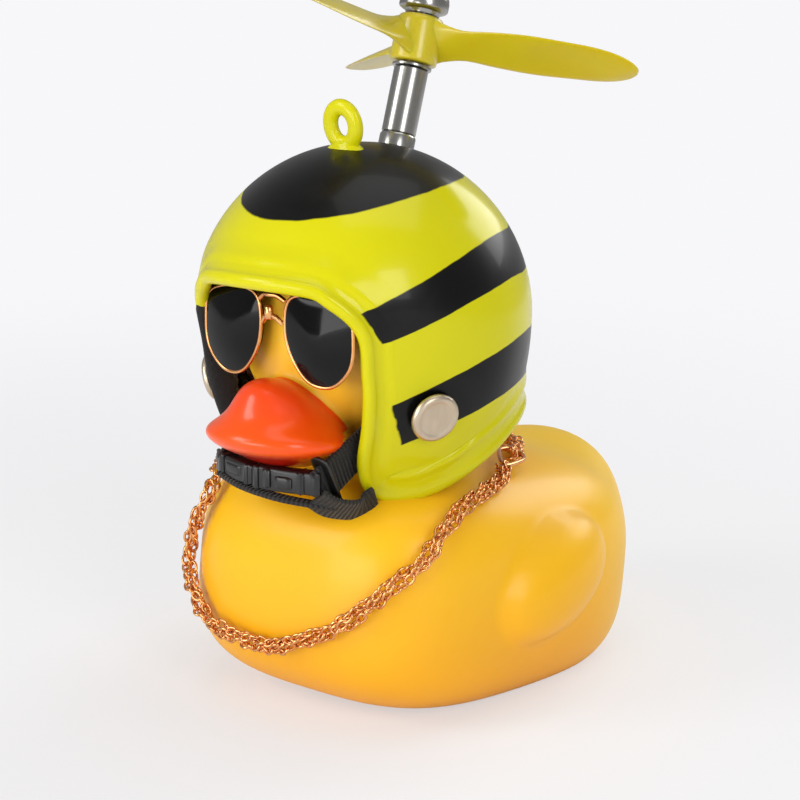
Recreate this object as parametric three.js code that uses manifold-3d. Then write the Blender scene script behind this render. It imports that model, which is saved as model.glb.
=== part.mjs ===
// A vinyl bath duck that wears a striped open-face helmet with a propeller, sunglasses, a chin strap and a chain.
// Millimetres, +Z up. The duck faces -Y and its left side is +X. The origin is the middle of the flat base.
import * as THREE from 'three';
import { mergeVertices } from 'three/addons/utils/BufferGeometryUtils.js';
import { ParametricGeometry } from 'three/addons/geometries/ParametricGeometry.js';
import Module from 'manifold-3d';

const wasm = await Module();
wasm.setup();

// Vinyl body
const hull = { at: [0, 3, 20.5], half: [33.6, 43, 24], pitch: -4, power: 2.5 };
const tail = { at: [0, 37, 30], half: [13, 14, 7], pitch: 38 };
const wing = { at: [29.5, 8, 18.5], half: [6.5, 17, 10.5], pitch: 14 };
const head = { half: [22.5, 22.6, 24.4], behindHelmet: 1 };
const neck = { at: [0, -9.8, 45], half: [15.6, 14.8, 13] };
const upperBill = { at: [0, -37.6, 51.4], half: [12.3, 10.8, 4.4], pitch: -6 };
const billRidge = { at: [0, -35.4, 53.8], half: [8.4, 10.2, 5.6], pitch: -37 };
const lowerBill = { at: [0, -35.6, 49], half: [10, 8.8, 3.6], pitch: -4 };
const sightPoint = new THREE.Vector3(0, -10, 45);
const vinylWall = 2.4;
const ventDiameter = 3;
const ventBehind = 12;

// Helmet
const helmetCentre = new THREE.Vector3(0, -14, 68.8);
const helmetHalf = [29.4, 30];
const helmetCrown = 29.6;
const helmetSkirt = 40;
const shellWall = 2;
const liningThickness = 1.4;
const liningGap = 0.5;
const beadRadius = 1.3;
const beadOutset = 0.3;
const cheekTuck = 2;
const peakFlare = 2.2;
const lipFlare = 1.2;
const stripeTilt = 12;
const crownPrintLow = 23.4;
const upperStripe = { low: 4.6, high: 12.9, frontLow: -19.8, frontHigh: -23.2 };
const lowerStripe = { low: -12.2, high: -4.3, frontLow: -17.8, frontHigh: -17.8 };
const printThickness = 0.3;
const printGap = 0.15;
const spindleLean = 18.5;

// Hang loop on the crown
const loop = { lean: 9, width: 7.8, height: 8.2, wire: 1.6 };

// Snaps
const snapDirection = new THREE.Vector3(22.4, -10.8, -12).normalize();
const snapDiameter = 8.6;
const snapHeight = 1.9;
const studDiameter = 3;
const studFlange = 5;
const studFlangeThickness = 0.6;

// Spindle and propeller
const screwDiameter = 3;
const screwHead = { diameter: 6, height: 1.5 };
const collar = { diameter: 7, height: 2 };
const tube = { diameter: 6.1, length: 12.6 };
const washer = { diameter: 7, height: 0.6 };
const hub = { diameter: 8.4, height: 8.4 };
const blade = { length: 40, width: 11.5, thickness: 1.3, rootPitch: 30, tipPitch: 16 };
const bladeCount = 3;
const bladeTurn = 51;
const capNut = { diameter: 8.8, neck: 5.6, neckHeight: 1.8, domeHeight: 4.6 };
const clearance = 0.3;

// Sunglasses
const lens = { halfWidth: 6.8, halfHeight: 7.8, thickness: 1.2, apart: 16.8, forward: 25.3, rise: -0.9, yaw: 6 };
const rimRadius = 0.6;
const armRadius = 0.5;

// Chin strap
const strap = { width: 7.6, thickness: 0.9 };
const buckle = { length: 11, height: 5.2, depth: 3.2, plugLength: 8.5 };
const slider = { length: 2.2, rim: 0.7, place: 0.925 };

// Neck chain
const link = { pitch: 3.6, length: 5.4, width: 3.3, wire: 1.1, roll: 38 };
const chainGap = 0.2;
const clasp = { width: 3.6, wire: 1.1, endGap: 1.1 };

const degrees = Math.PI / 180;
const axisX = new THREE.Vector3(1, 0, 0);
const axisY = new THREE.Vector3(0, 1, 0);
const axisZ = new THREE.Vector3(0, 0, 1);

// Closed meshes and solids

function closedMesh(geometry) {
  const bare = geometry.clone();
  bare.deleteAttribute('normal');
  bare.deleteAttribute('uv');
  const merged = mergeVertices(bare, 1e-4);
  const points = merged.attributes.position;
  const corners = Array.from(merged.index.array);
  let kept = [];
  for (let i = 0; i < corners.length; i += 3) {
    const [a, b, c] = corners.slice(i, i + 3);
    if (a !== b && b !== c && a !== c) kept.push(a, b, c);
  }
  const p = new THREE.Vector3();
  const q = new THREE.Vector3();
  const r = new THREE.Vector3();
  let volume = 0;
  for (let i = 0; i < kept.length; i += 3) {
    p.fromBufferAttribute(points, kept[i]);
    q.fromBufferAttribute(points, kept[i + 1]);
    r.fromBufferAttribute(points, kept[i + 2]);
    volume += p.dot(q.cross(r));
  }
  if (volume < 0) kept = kept.reverse();
  merged.setIndex(kept);
  return merged;
}

function solid(geometry) {
  const closed = closedMesh(geometry);
  const vertProperties = new Float32Array(closed.attributes.position.array);
  const triVerts = new Uint32Array(closed.index.array);
  return new wasm.Manifold(new wasm.Mesh({ numProp: 3, vertProperties, triVerts }));
}

function geometryOf(manifold) {
  const mesh = manifold.getMesh();
  const geometry = new THREE.BufferGeometry();
  geometry.setAttribute('position', new THREE.BufferAttribute(new Float32Array(mesh.vertProperties), 3));
  geometry.setIndex(new THREE.BufferAttribute(new Uint32Array(mesh.triVerts), 1));
  return geometry;
}

// The largest body of a solid, with any pocket between joined pieces filled
function largest(manifold) {
  return manifold.decompose().reduce((best, body) => (body.volume() > best.volume() ? body : best));
}

// A surface of revolution about +Z from [radius, height] pairs that start and end on the axis or close on themselves
function turned(profile, sides = 24) {
  const points = profile.map(([radius, height]) => new THREE.Vector2(radius, height));
  return new THREE.LatheGeometry(points, sides).rotateX(Math.PI / 2);
}

function box(width, depth, height, x, y, z) {
  return new THREE.BoxGeometry(width, depth, height).translate(x, y, z);
}

function rod(diameter, from, to, sides = 16) {
  const radius = diameter / 2;
  return turned([[0, from], [radius, from], [radius, to], [0, to]], sides);
}

// Turns geometry made about +Z so that its axis runs along a direction from a point
function aimed(geometry, direction, at) {
  const turn = new THREE.Quaternion().setFromUnitVectors(axisZ, direction);
  return geometry.applyQuaternion(turn).translate(at.x, at.y, at.z);
}

// A closed solid swept along a path: frameAt(t) gives the middle and two axes, outline the section's points in order
function swept(frameAt, outline, steps, closed = false) {
  const sides = outline.length;
  const rows = closed ? steps : steps + 2;
  const place = (u, v, target) => {
    const row = Math.round(v * rows);
    const corner = outline[Math.round(u * sides) % sides];
    if (!closed && (row === 0 || row === rows)) {
      target.copy(frameAt(row === 0 ? 0 : 1).middle);
      return;
    }
    const t = closed ? (row % rows) / rows : (row - 1) / steps;
    const frame = frameAt(t);
    target.copy(frame.middle).addScaledVector(frame.across, corner[0]).addScaledVector(frame.out, corner[1]);
  };
  return new ParametricGeometry(place, sides, rows);
}

function circleOutline(radius, sides) {
  return Array.from({ length: sides }, (_, i) => {
    const angle = (2 * Math.PI * i) / sides;
    return [radius * Math.cos(angle), radius * Math.sin(angle)];
  });
}

// Frames along a curve whose outward axis stays close to the given guide direction at each point
function framesAlong(curve, guide) {
  return (t) => {
    const middle = curve.getPointAt(Math.min(t, 1));
    const along = curve.getTangentAt(Math.min(t, 1));
    const out = guide(middle, t).clone().addScaledVector(along, -guide(middle, t).dot(along)).normalize();
    const across = new THREE.Vector3().crossVectors(along, out);
    return { middle, across, out, along };
  };
}

// Vinyl body: the smooth union of rounded lobes, as a field that is negative inside

function lobeField(point, lobe) {
  const power = lobe.power ?? 2;
  const angle = (lobe.pitch ?? 0) * degrees;
  const dx = Math.abs(point.x) - lobe.at[0];
  const dy = point.y - lobe.at[1];
  const dz = point.z - lobe.at[2];
  const along = dy * Math.cos(angle) + dz * Math.sin(angle);
  const above = -dy * Math.sin(angle) + dz * Math.cos(angle);
  const scaled = [dx / lobe.half[0], along / lobe.half[1], above / lobe.half[2]];
  const size = scaled.reduce((sum, s) => sum + Math.abs(s) ** power, 0) ** (1 / power);
  const slope = Math.hypot(...scaled.map((s, i) => s / lobe.half[i]));
  if (slope < 1e-9) return -Math.min(...lobe.half);
  return (size * (size - 1)) / slope;
}

function smoothJoin(a, b, blend) {
  const overlap = Math.max(blend - Math.abs(a - b), 0) / blend;
  return Math.min(a, b) - (overlap * overlap * blend) / 4;
}

const headLobe = {
  at: [0, helmetCentre.y + head.behindHelmet, helmetCentre.z],
  half: head.half,
};

function vinylField(point) {
  let field = smoothJoin(lobeField(point, hull), lobeField(point, tail), 9);
  field = smoothJoin(field, lobeField(point, wing), 2);
  field = smoothJoin(field, lobeField(point, headLobe), 9);
  field = smoothJoin(field, lobeField(point, neck), 4);
  let bill = smoothJoin(lobeField(point, upperBill), lobeField(point, billRidge), 5);
  bill = smoothJoin(bill, lobeField(point, lowerBill), 0.6);
  return smoothJoin(field, bill, 2.5);
}

// Distance from the sight point to the surface along a direction, by halving
function vinylReach(direction, inset) {
  const point = new THREE.Vector3();
  let near = 0;
  let far = 100;
  for (let i = 0; i < 26; i += 1) {
    const middle = (near + far) / 2;
    point.copy(sightPoint).addScaledVector(direction, middle);
    if (vinylField(point) + inset < 0) near = middle;
    else far = middle;
  }
  return near;
}

// Rays leave the sight point in all directions, closer together towards the face
function vinylSurface(inset, around, upright) {
  const direction = new THREE.Vector3();
  const place = (u, v, target) => {
    const turn = 2 * Math.PI * (u === 1 ? 0 : u);
    const azimuth = turn - 0.45 * Math.sin(turn);
    const polar = Math.PI * v;
    direction.set(
      Math.sin(polar) * Math.sin(azimuth),
      -Math.sin(polar) * Math.cos(azimuth),
      Math.cos(polar),
    );
    target.copy(sightPoint).addScaledVector(direction, vinylReach(direction, inset));
  };
  return new ParametricGeometry(place, around, upright);
}

const vinylSides = 48;
const vinylRows = 31;
const farBelow = 60;
const belowBase = () => solid(box(200, 200, farBelow, 0, 0, -farBelow / 2));

function duckBody() {
  const outside = solid(vinylSurface(0, vinylSides, vinylRows)).subtract(belowBase());
  const cavity = solid(vinylSurface(vinylWall, 20, 14));
  const cavityFloor = solid(box(200, 200, farBelow, 0, 0, vinylWall - farBelow / 2));
  const vent = solid(rod(ventDiameter, -1, vinylWall * 3).translate(0, ventBehind, 0));
  return geometryOf(outside.subtract(cavity.subtract(cavityFloor)).subtract(vent));
}

// The coat on the bill follows the vinyl at the gap and thickness of a print
function billPaint() {
  const outer = solid(vinylSurface(-(printGap + printThickness), vinylSides, vinylRows));
  const inner = solid(vinylSurface(-printGap, vinylSides, vinylRows));
  const grow = 1.2;
  const zone = (lobe) => {
    const region = new THREE.SphereGeometry(1, 24, 16);
    region.scale(lobe.half[0] + grow, lobe.half[1] + grow, lobe.half[2] + grow);
    region.rotateX((lobe.pitch ?? 0) * degrees);
    return solid(region.translate(...lobe.at));
  };
  const between = {
    at: upperBill.at.map((value, i) => (value + billRidge.at[i]) / 2),
    half: upperBill.half.map((value, i) => (value + billRidge.half[i]) / 2),
    pitch: (upperBill.pitch + billRidge.pitch) / 2,
  };
  const bill = zone(upperBill).add(zone(billRidge)).add(zone(between)).add(zone(lowerBill));
  return geometryOf(largest(outer.subtract(inner).intersect(bill)));
}

// Helmet: an egg around its centre, cut by one side profile that runs peak, cheek edge, ear, nape

function eggReach(direction) {
  const upright = direction.z > 0 ? helmetCrown : helmetSkirt;
  const reach = 1 / Math.hypot(direction.x / helmetHalf[0], direction.y / helmetHalf[1], direction.z / upright);
  const level = direction.z * reach;
  const ahead = -direction.y * reach;
  const tuck = (1 - THREE.MathUtils.smoothstep(level, -6, 12)) * THREE.MathUtils.smoothstep(ahead, -4, 20);
  return reach - cheekTuck * tuck;
}

const rimProfile = new THREE.SplineCurve([
  new THREE.Vector2(-42, 12.9),
  new THREE.Vector2(-27.9, 11.1),
  new THREE.Vector2(-25.2, 8.2),
  new THREE.Vector2(-22.3, 1.9),
  new THREE.Vector2(-21.2, -6),
  new THREE.Vector2(-19.6, -14.3),
  new THREE.Vector2(-17.5, -22),
  new THREE.Vector2(-14.1, -26.7),
  new THREE.Vector2(-9.1, -25.3),
  new THREE.Vector2(0, -21.3),
  new THREE.Vector2(10, -16.8),
  new THREE.Vector2(19.1, -15.1),
  new THREE.Vector2(42, -14.8),
]).getPoints(120);

// True where a point of the egg, seen from the side, is kept: above the profile and behind the face opening
function isKept(y, z) {
  const corners = [...rimProfile, new THREE.Vector2(60, 90), new THREE.Vector2(-60, 90)];
  let inside = false;
  for (let i = 0, j = corners.length - 1; i < corners.length; j = i, i += 1) {
    const a = corners[i];
    const b = corners[j];
    const crosses = a.y > z !== b.y > z;
    if (crosses && y < ((b.x - a.x) * (z - a.y)) / (b.y - a.y) + a.x) inside = !inside;
  }
  return inside;
}

// The shell is laid out around a pole high on the back of the helmet
const poleTilt = 42 * degrees;
const pole = new THREE.Vector3(0, Math.sin(poleTilt), Math.cos(poleTilt));
const poleFront = new THREE.Vector3(0, -Math.cos(poleTilt), Math.sin(poleTilt));

function shellDirection(turn, reach) {
  return new THREE.Vector3()
    .addScaledVector(pole, Math.cos(reach))
    .addScaledVector(axisX, Math.sin(reach) * Math.sin(turn))
    .addScaledVector(poleFront, Math.sin(reach) * Math.cos(turn));
}

function rimReach(turn) {
  let near = 30 * degrees;
  let far = near;
  const kept = (reach) => {
    const direction = shellDirection(turn, reach);
    const point = direction.multiplyScalar(eggReach(direction));
    return isKept(point.y, point.z);
  };
  while (kept(far) && far < Math.PI) far += 2 * degrees;
  near = far - 2 * degrees;
  for (let i = 0; i < 14; i += 1) {
    const middle = (near + far) / 2;
    if (kept(middle)) near = middle;
    else far = middle;
  }
  return near;
}

const shellSides = 40;
const shellRows = 9;
const rimReaches = Array.from({ length: shellSides }, (_, i) => rimReach((2 * Math.PI * i) / shellSides));

// How far the edge turns out at a direction: most at the peak, some at the nape and ears, none at the cheeks
function edgeFlare(direction) {
  const point = direction.clone().multiplyScalar(eggReach(direction));
  if (point.z > 4) return peakFlare * THREE.MathUtils.smoothstep(point.z, 4, 10);
  return lipFlare * THREE.MathUtils.smoothstep(point.y, -19, -8);
}

function shellPoint(side, share, offset) {
  const turn = (2 * Math.PI * side) / shellSides;
  const reach = rimReaches[side] * share;
  const direction = shellDirection(turn, reach);
  const edge = shellDirection(turn, rimReaches[side]);
  const flare = edgeFlare(edge) * THREE.MathUtils.smoothstep(share, 0.86, 1);
  return direction.clone().multiplyScalar(eggReach(direction) + offset + flare);
}

const shellShares = Array.from({ length: shellRows + 1 }, (_, i) => Math.sin((Math.PI / 2) * (i / shellRows)) ** 0.9);

// A layer of the helmet between two offsets from the egg. Every surface has its corners on the same rays and its
// quads cut the same way, so that two layers never cross.
function helmetLayer(outer, inner) {
  const points = [];
  for (const offset of [outer, inner]) {
    for (const share of shellShares) {
      for (let side = 0; side < shellSides; side += 1) {
        points.push(...shellPoint(side, share, offset).add(helmetCentre).toArray());
      }
    }
  }
  const corner = (surface, row, side) => (surface * (shellRows + 1) + row) * shellSides + (side % shellSides);
  const faces = [];
  const quad = (a, b, c, d) => faces.push(a, b, c, a, c, d);
  for (let side = 0; side < shellSides; side += 1) {
    for (let row = 0; row < shellRows; row += 1) {
      const ring = [[row, side], [row + 1, side], [row + 1, side + 1], [row, side + 1]];
      quad(...ring.map(([r, k]) => corner(0, r, k)));
      const [a, b, c, d] = ring.map(([r, k]) => corner(1, r, k));
      faces.push(a, c, b, a, d, c);
    }
    const [from, to] = [side, side + 1];
    quad(corner(0, shellRows, from), corner(1, shellRows, from), corner(1, shellRows, to), corner(0, shellRows, to));
  }
  const geometry = new THREE.BufferGeometry();
  geometry.setAttribute('position', new THREE.Float32BufferAttribute(points, 3));
  geometry.setIndex(faces);
  return geometry;
}

const spindleAxis = new THREE.Vector3(0, Math.sin(spindleLean * degrees), Math.cos(spindleLean * degrees));
const crownReach = eggReach(spindleAxis);
const atSpindle = (geometry) => aimed(geometry, spindleAxis, helmetCentre);
const snapReach = eggReach(snapDirection);
const snapSide = (side) => new THREE.Vector3(side * snapDirection.x, snapDirection.y, snapDirection.z);
const snapNormal = (side) => new THREE.Vector3(
  snapSide(side).x / helmetHalf[0] ** 2,
  snapSide(side).y / helmetHalf[1] ** 2,
  snapSide(side).z / helmetSkirt ** 2,
).normalize();
const snapPoint = (side) => snapSide(side).multiplyScalar(snapReach).add(helmetCentre);
const atSnap = (geometry, side) => aimed(geometry, snapNormal(side), snapPoint(side));

function rimBead(grow = 0) {
  const points = Array.from({ length: shellSides }, (_, i) => shellPoint(i, 1, beadOutset - shellWall / 2).add(helmetCentre));
  const curve = new THREE.CatmullRomCurve3(points, true);
  const guide = (middle) => middle.clone().sub(helmetCentre).normalize();
  return swept(framesAlong(curve, guide), circleOutline(beadRadius + grow, 6), 50, true);
}

function hangLoop(grow = 0) {
  const angle = loop.lean * degrees;
  const up = new THREE.Vector3(0, -Math.sin(angle), Math.cos(angle));
  const foot = helmetCentre.clone().addScaledVector(up, eggReach(up) - shellWall / 2);
  const half = loop.width / 2 - loop.wire;
  const top = loop.height + shellWall / 2 - loop.wire;
  const curve = new THREE.CatmullRomCurve3([
    [-half * 1.25, 0], [-half, top * 0.45], [-half * 0.72, top * 0.86], [0, top],
    [half * 0.72, top * 0.86], [half, top * 0.45], [half * 1.25, 0],
  ].map(([x, z]) => foot.clone().addScaledVector(axisX, x).addScaledVector(up, z)));
  const depth = new THREE.Vector3().crossVectors(up, axisX);
  return swept(framesAlong(curve, () => depth), circleOutline(loop.wire + grow, 7), 12);
}

function helmetShell() {
  const screwHole = atSpindle(rod(screwDiameter + 2 * clearance, crownReach - 2 * shellWall, crownReach + 1));
  let shell = solid(helmetLayer(0, -shellWall)).add(solid(rimBead())).add(solid(hangLoop())).subtract(solid(screwHole));
  for (const side of [-1, 1]) {
    const studHole = atSnap(rod(studDiameter + 2 * clearance, -2 * shellWall, 1), side);
    shell = shell.subtract(solid(studHole));
  }
  return geometryOf(largest(shell));
}

const liningOuter = shellWall + liningGap;
const liningInner = liningOuter + liningThickness;

function helmetLining() {
  const screwHole = atSpindle(rod(screwHead.diameter + 4 * clearance, crownReach - 3 * liningInner, crownReach));
  let lining = solid(helmetLayer(-liningOuter, -liningInner)).subtract(solid(screwHole));
  lining = lining.subtract(solid(rimBead(clearance)));
  for (const side of [-1, 1]) {
    const studHole = atSnap(rod(studDiameter + 2 * clearance, -3 * liningInner, 0), side);
    lining = lining.subtract(solid(studHole));
  }
  return geometryOf(largest(lining));
}

// Prints: thin layers on the shell between two heights measured across the tilted bands

function bandSlab(low, high) {
  const slab = box(200, 200, high - low, 0, 0, (low + high) / 2);
  return solid(slab.rotateX(stripeTilt * degrees).translate(...helmetCentre.toArray()));
}

// The wedge of space behind a slanting front end, seen from the side
function behindFront(stripe) {
  const outline = new THREE.Shape([
    new THREE.Vector2(stripe.frontLow, stripe.low - 8),
    new THREE.Vector2(stripe.frontLow, stripe.low + 2),
    new THREE.Vector2(stripe.frontHigh, stripe.high),
    new THREE.Vector2(stripe.frontHigh, stripe.high + 8),
    new THREE.Vector2(60, stripe.high + 8),
    new THREE.Vector2(60, stripe.low - 8),
  ]);
  const wedge = new THREE.ExtrudeGeometry(outline, { depth: 100, bevelEnabled: false });
  wedge.translate(0, 0, -50).applyMatrix4(new THREE.Matrix4().makeBasis(axisY, axisZ, axisX));
  return solid(wedge.translate(...helmetCentre.toArray()));
}

const printLayer = () => solid(helmetLayer(printGap + printThickness, printGap)).subtract(solid(rimBead(clearance)));

function crownPrint() {
  const keepClear = solid(atSpindle(rod(collar.diameter + 2 * clearance, crownReach - 2, crownReach + 3)));
  const cap = printLayer().intersect(bandSlab(crownPrintLow, 60));
  return geometryOf(largest(cap.subtract(keepClear).subtract(solid(hangLoop(clearance)))));
}

function stripePrint(stripe) {
  let band = printLayer().intersect(bandSlab(stripe.low, stripe.high)).intersect(behindFront(stripe));
  for (const side of [-1, 1]) {
    band = band.subtract(solid(atSnap(rod(studDiameter + 2 * clearance, -2, 3), side)));
  }
  return geometryOf(largest(band));
}

// Snaps, spindle and propeller

function snapCap() {
  const radius = snapDiameter / 2;
  const seat = printGap + printThickness + 0.35;
  return turned([
    [0, seat], [radius, seat], [radius, seat + 0.5], [radius - 1.1, snapHeight], [radius - 1.5, snapHeight - 0.15],
    [0, snapHeight - 0.15],
  ], 18);
}

const strapDepth = liningInner + 0.75;
const webbingDepth = strapDepth + strap.thickness / 2;

function snapStud() {
  const shank = studDiameter / 2;
  const inner = -(strapDepth + strap.thickness + 0.5);
  const flange = studFlange / 2;
  return turned([
    [0, inner - studFlangeThickness], [flange, inner - studFlangeThickness], [flange, inner],
    [shank, inner], [shank, printGap + printThickness], [0, printGap + printThickness],
  ], 12);
}

const collarFoot = crownReach + printGap;
const tubeFoot = collarFoot + collar.height + 0.1;
const washerFoot = tubeFoot + tube.length + 0.1;
const hubFoot = washerFoot + washer.height + clearance;
const hubTop = hubFoot + hub.height;
const capFoot = hubTop + clearance;
const screwBore = screwDiameter + 2 * clearance;

function sleeve(diameter, bore, from, to, sides = 20) {
  return turned([[bore / 2, from], [diameter / 2, from], [diameter / 2, to], [bore / 2, to], [bore / 2, from]], sides);
}

function spindleCollar() {
  const outer = collar.diameter / 2;
  const bore = screwBore / 2;
  const top = collarFoot + collar.height;
  return turned([
    [bore, collarFoot], [outer, collarFoot], [outer, top - 0.5], [outer - 0.4, top], [bore, top], [bore, collarFoot],
  ], 20);
}

function spindleScrew() {
  const shank = screwDiameter / 2;
  const under = crownReach - shellWall - 2 * clearance;
  const wide = screwHead.diameter / 2;
  return turned([
    [0, under - screwHead.height], [wide, under - screwHead.height], [wide, under], [shank, under],
    [shank, capFoot + capNut.neckHeight], [0, capFoot + capNut.neckHeight],
  ], 14);
}

function capNutGeometry() {
  const neck = capNut.neck / 2;
  const wide = capNut.diameter / 2;
  const bore = screwBore / 2;
  const shoulder = capFoot + capNut.neckHeight;
  const ceiling = shoulder + clearance;
  const dome = Array.from({ length: 7 }, (_, i) => {
    const angle = (Math.PI / 2) * (i / 6);
    return [wide * Math.cos(angle), shoulder + 0.8 + (capNut.domeHeight - 0.8) * Math.sin(angle)];
  });
  return turned([[0, ceiling], [bore, ceiling], [bore, capFoot], [neck, capFoot], [neck, shoulder], ...dome], 18);
}

function bladeShape() {
  const root = hub.diameter / 2 - 1.2;
  const half = blade.thickness / 2;
  const outline = [
    [-1, 0], [-0.8, half * 0.8], [-0.3, half], [0.3, half], [0.8, half * 0.8],
    [1, 0], [0.8, -half * 0.8], [0.3, -half], [-0.3, -half], [-0.8, -half * 0.8],
  ];
  const steps = 12;
  const rows = steps + 2;
  const place = (u, v, target) => {
    const row = Math.min(Math.max(Math.round(v * rows) - 1, 0), steps);
    const share = Math.sin((Math.PI / 2) * (row / steps));
    const along = root + (blade.length - root) * share;
    const swell = 0.42 + 0.58 * THREE.MathUtils.smoothstep(share, 0, 0.45);
    const round = Math.sqrt(Math.max(1 - Math.max((share - 0.8) / 0.2, 0) ** 2, 0));
    const reach = (blade.width / 2) * swell * round;
    const pitch = THREE.MathUtils.lerp(blade.rootPitch, blade.tipPitch, share) * degrees;
    const ended = v === 0 || v === 1;
    const [across, thick] = ended ? [0, 0] : outline[Math.round(u * outline.length) % outline.length];
    const x = across * reach;
    target.set(x * Math.cos(pitch) - thick * Math.sin(pitch), along, x * Math.sin(pitch) + thick * Math.cos(pitch));
  };
  return new ParametricGeometry(place, outline.length, rows);
}

function propeller() {
  const outer = hub.diameter / 2;
  const middle = (hubFoot + hubTop) / 2;
  let whole = solid(turned([
    [0, hubFoot], [outer - 0.5, hubFoot], [outer, hubFoot + 0.5], [outer, hubTop - 1.2], [outer - 1.2, hubTop], [0, hubTop],
  ], 18));
  for (let i = 0; i < bladeCount; i += 1) {
    const turn = (bladeTurn + (360 / bladeCount) * i) * degrees;
    whole = whole.add(solid(bladeShape().translate(0, 0, middle).rotateZ(turn)));
  }
  return atSpindle(geometryOf(whole.subtract(solid(rod(screwBore, hubFoot - 1, hubTop + 1)))));
}

// Sunglasses: teardrop lenses in a wire frame with two bridge bars and side arms

function lensOutline(grow) {
  const w = lens.halfWidth + grow;
  const h = lens.halfHeight + grow;
  return new THREE.SplineCurve([
    [-w * 0.8, h * 0.84], [0, h], [w * 0.84, h * 0.78], [w, h * 0.12], [w * 0.78, -h * 0.62],
    [w * 0.24, -h], [-w * 0.42, -h * 0.66], [-w * 0.9, h * 0.12], [-w * 0.8, h * 0.84],
  ].map(([x, z]) => new THREE.Vector2(x, z)));
}

// Carries a point of the left lens plane (across, forward, up) into place; the right one is its mirror
function onLens(across, forward, up, side) {
  const turn = lens.yaw * degrees;
  const x = across * Math.cos(turn) - forward * Math.sin(turn) * -1;
  const y = across * Math.sin(turn) - forward * Math.cos(turn);
  return new THREE.Vector3(
    side * (lens.apart / 2 + x),
    helmetCentre.y - lens.forward + y,
    helmetCentre.z + lens.rise + up,
  );
}

function lensSolid(side) {
  const rim = lensOutline(-rimRadius - 0.12).getPoints(32).slice(0, 32);
  const rows = 4;
  const place = (u, v, target) => {
    const row = Math.round(v * (rows + 1));
    const corner = rim[Math.round(u * rim.length) % rim.length];
    const share = [0, 1, 1, 0, 0][Math.min(row, 4)];
    const face = row <= 1 ? 1 : -1;
    const bulge = row === 0 || row >= 3 ? 0.5 : 0;
    target.copy(onLens(corner.x * share, (face * lens.thickness) / 2 + bulge, corner.y * share, side));
  };
  return new ParametricGeometry(place, rim.length, rows - 1);
}

// A point inside the shell at a depth from the egg, along the direction of a point seen from the helmet's centre
function insideShell(side, [x, y, z], depth) {
  const direction = new THREE.Vector3(side * x, y, z).normalize();
  return direction.multiplyScalar(eggReach(direction) - depth).add(helmetCentre);
}

const armDepth = liningInner + armRadius + 1.25;

function glassesFrame() {
  const curveOf = (side) => new THREE.CatmullRomCurve3(
    lensOutline(0).getPoints(30).slice(0, 30).map((p) => onLens(p.x, 0, p.y, side)),
    true,
  );
  const forwardGuide = () => axisY;
  const wire = circleOutline(rimRadius, 5);
  let frame = null;
  for (const side of [-1, 1]) {
    const rim = solid(swept(framesAlong(curveOf(side), forwardGuide), wire, 24, true));
    frame = frame ? frame.add(rim) : rim;
  }
  const w = lens.halfWidth;
  const h = lens.halfHeight;
  const bars = [
    [onLens(-w * 0.9, 0, h * 0.8, -1), onLens(-w * 0.9, 0, h * 0.8, 1), 1.3],
    [onLens(-w * 0.99, 0, h * 0.25, -1), onLens(-w * 0.99, 0, h * 0.25, 1), 1.6],
  ];
  for (const [from, to, rise] of bars) {
    const top = from.clone().lerp(to, 0.5).add(new THREE.Vector3(0, -0.9, rise));
    const curve = new THREE.QuadraticBezierCurve3(from, top, to);
    frame = frame.add(solid(swept(framesAlong(curve, forwardGuide), circleOutline(rimRadius, 5), 6)));
  }
  for (const side of [-1, 1]) {
    const arm = new THREE.CatmullRomCurve3([
      onLens(w * 0.9, 0, h * 0.72, side),
      insideShell(side, [14.2, -20, 4.8], armDepth + 0.3),
      insideShell(side, [17.4, -16, 4.6], armDepth),
      insideShell(side, [21.4, -9.5, 4], armDepth),
      insideShell(side, [23.4, -2, 3], armDepth),
    ]);
    frame = frame.add(solid(swept(framesAlong(arm, () => axisZ), circleOutline(armRadius, 5), 9)));
  }
  return geometryOf(frame);
}

// Chin strap: from each stud down inside the cheek and forward under the bill to the buckle

const strapLevel = -27;
const strapFront = -25;

function strapCurve(side) {
  const eye = snapPoint(side).addScaledVector(snapNormal(side), -webbingDepth);
  return new THREE.CatmullRomCurve3([
    insideShell(side, [23.2, -8, -8.4], webbingDepth + 0.4),
    eye,
    insideShell(side, [19.2, -12.8, -18], webbingDepth + 0.9),
    insideShell(side, [15.5, -15, -23.2], webbingDepth + 1.3),
    new THREE.Vector3(side * 11, helmetCentre.y + strapFront + 3, helmetCentre.z + strapLevel + 0.2),
  ]);
}

// The webbing lies square to the egg
const strapGuide = (middle) => new THREE.Vector3(
  (middle.x - helmetCentre.x) / helmetHalf[0] ** 2,
  (middle.y - helmetCentre.y) / helmetHalf[1] ** 2,
  (middle.z - helmetCentre.z) / helmetSkirt ** 2,
).normalize();

function strapGeometry(side) {
  const w = strap.width / 2;
  const t = strap.thickness / 2;
  const outline = [[-w, -t], [-w, t], [-w / 3, t], [w / 3, t], [w, t], [w, -t], [w / 3, -t], [-w / 3, -t]];
  const band = solid(swept(framesAlong(strapCurve(side), strapGuide), outline, 13));
  const eye = solid(atSnap(rod(studDiameter + 2 * clearance, -3 * liningInner, 0), side));
  return geometryOf(band.subtract(eye));
}

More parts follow.
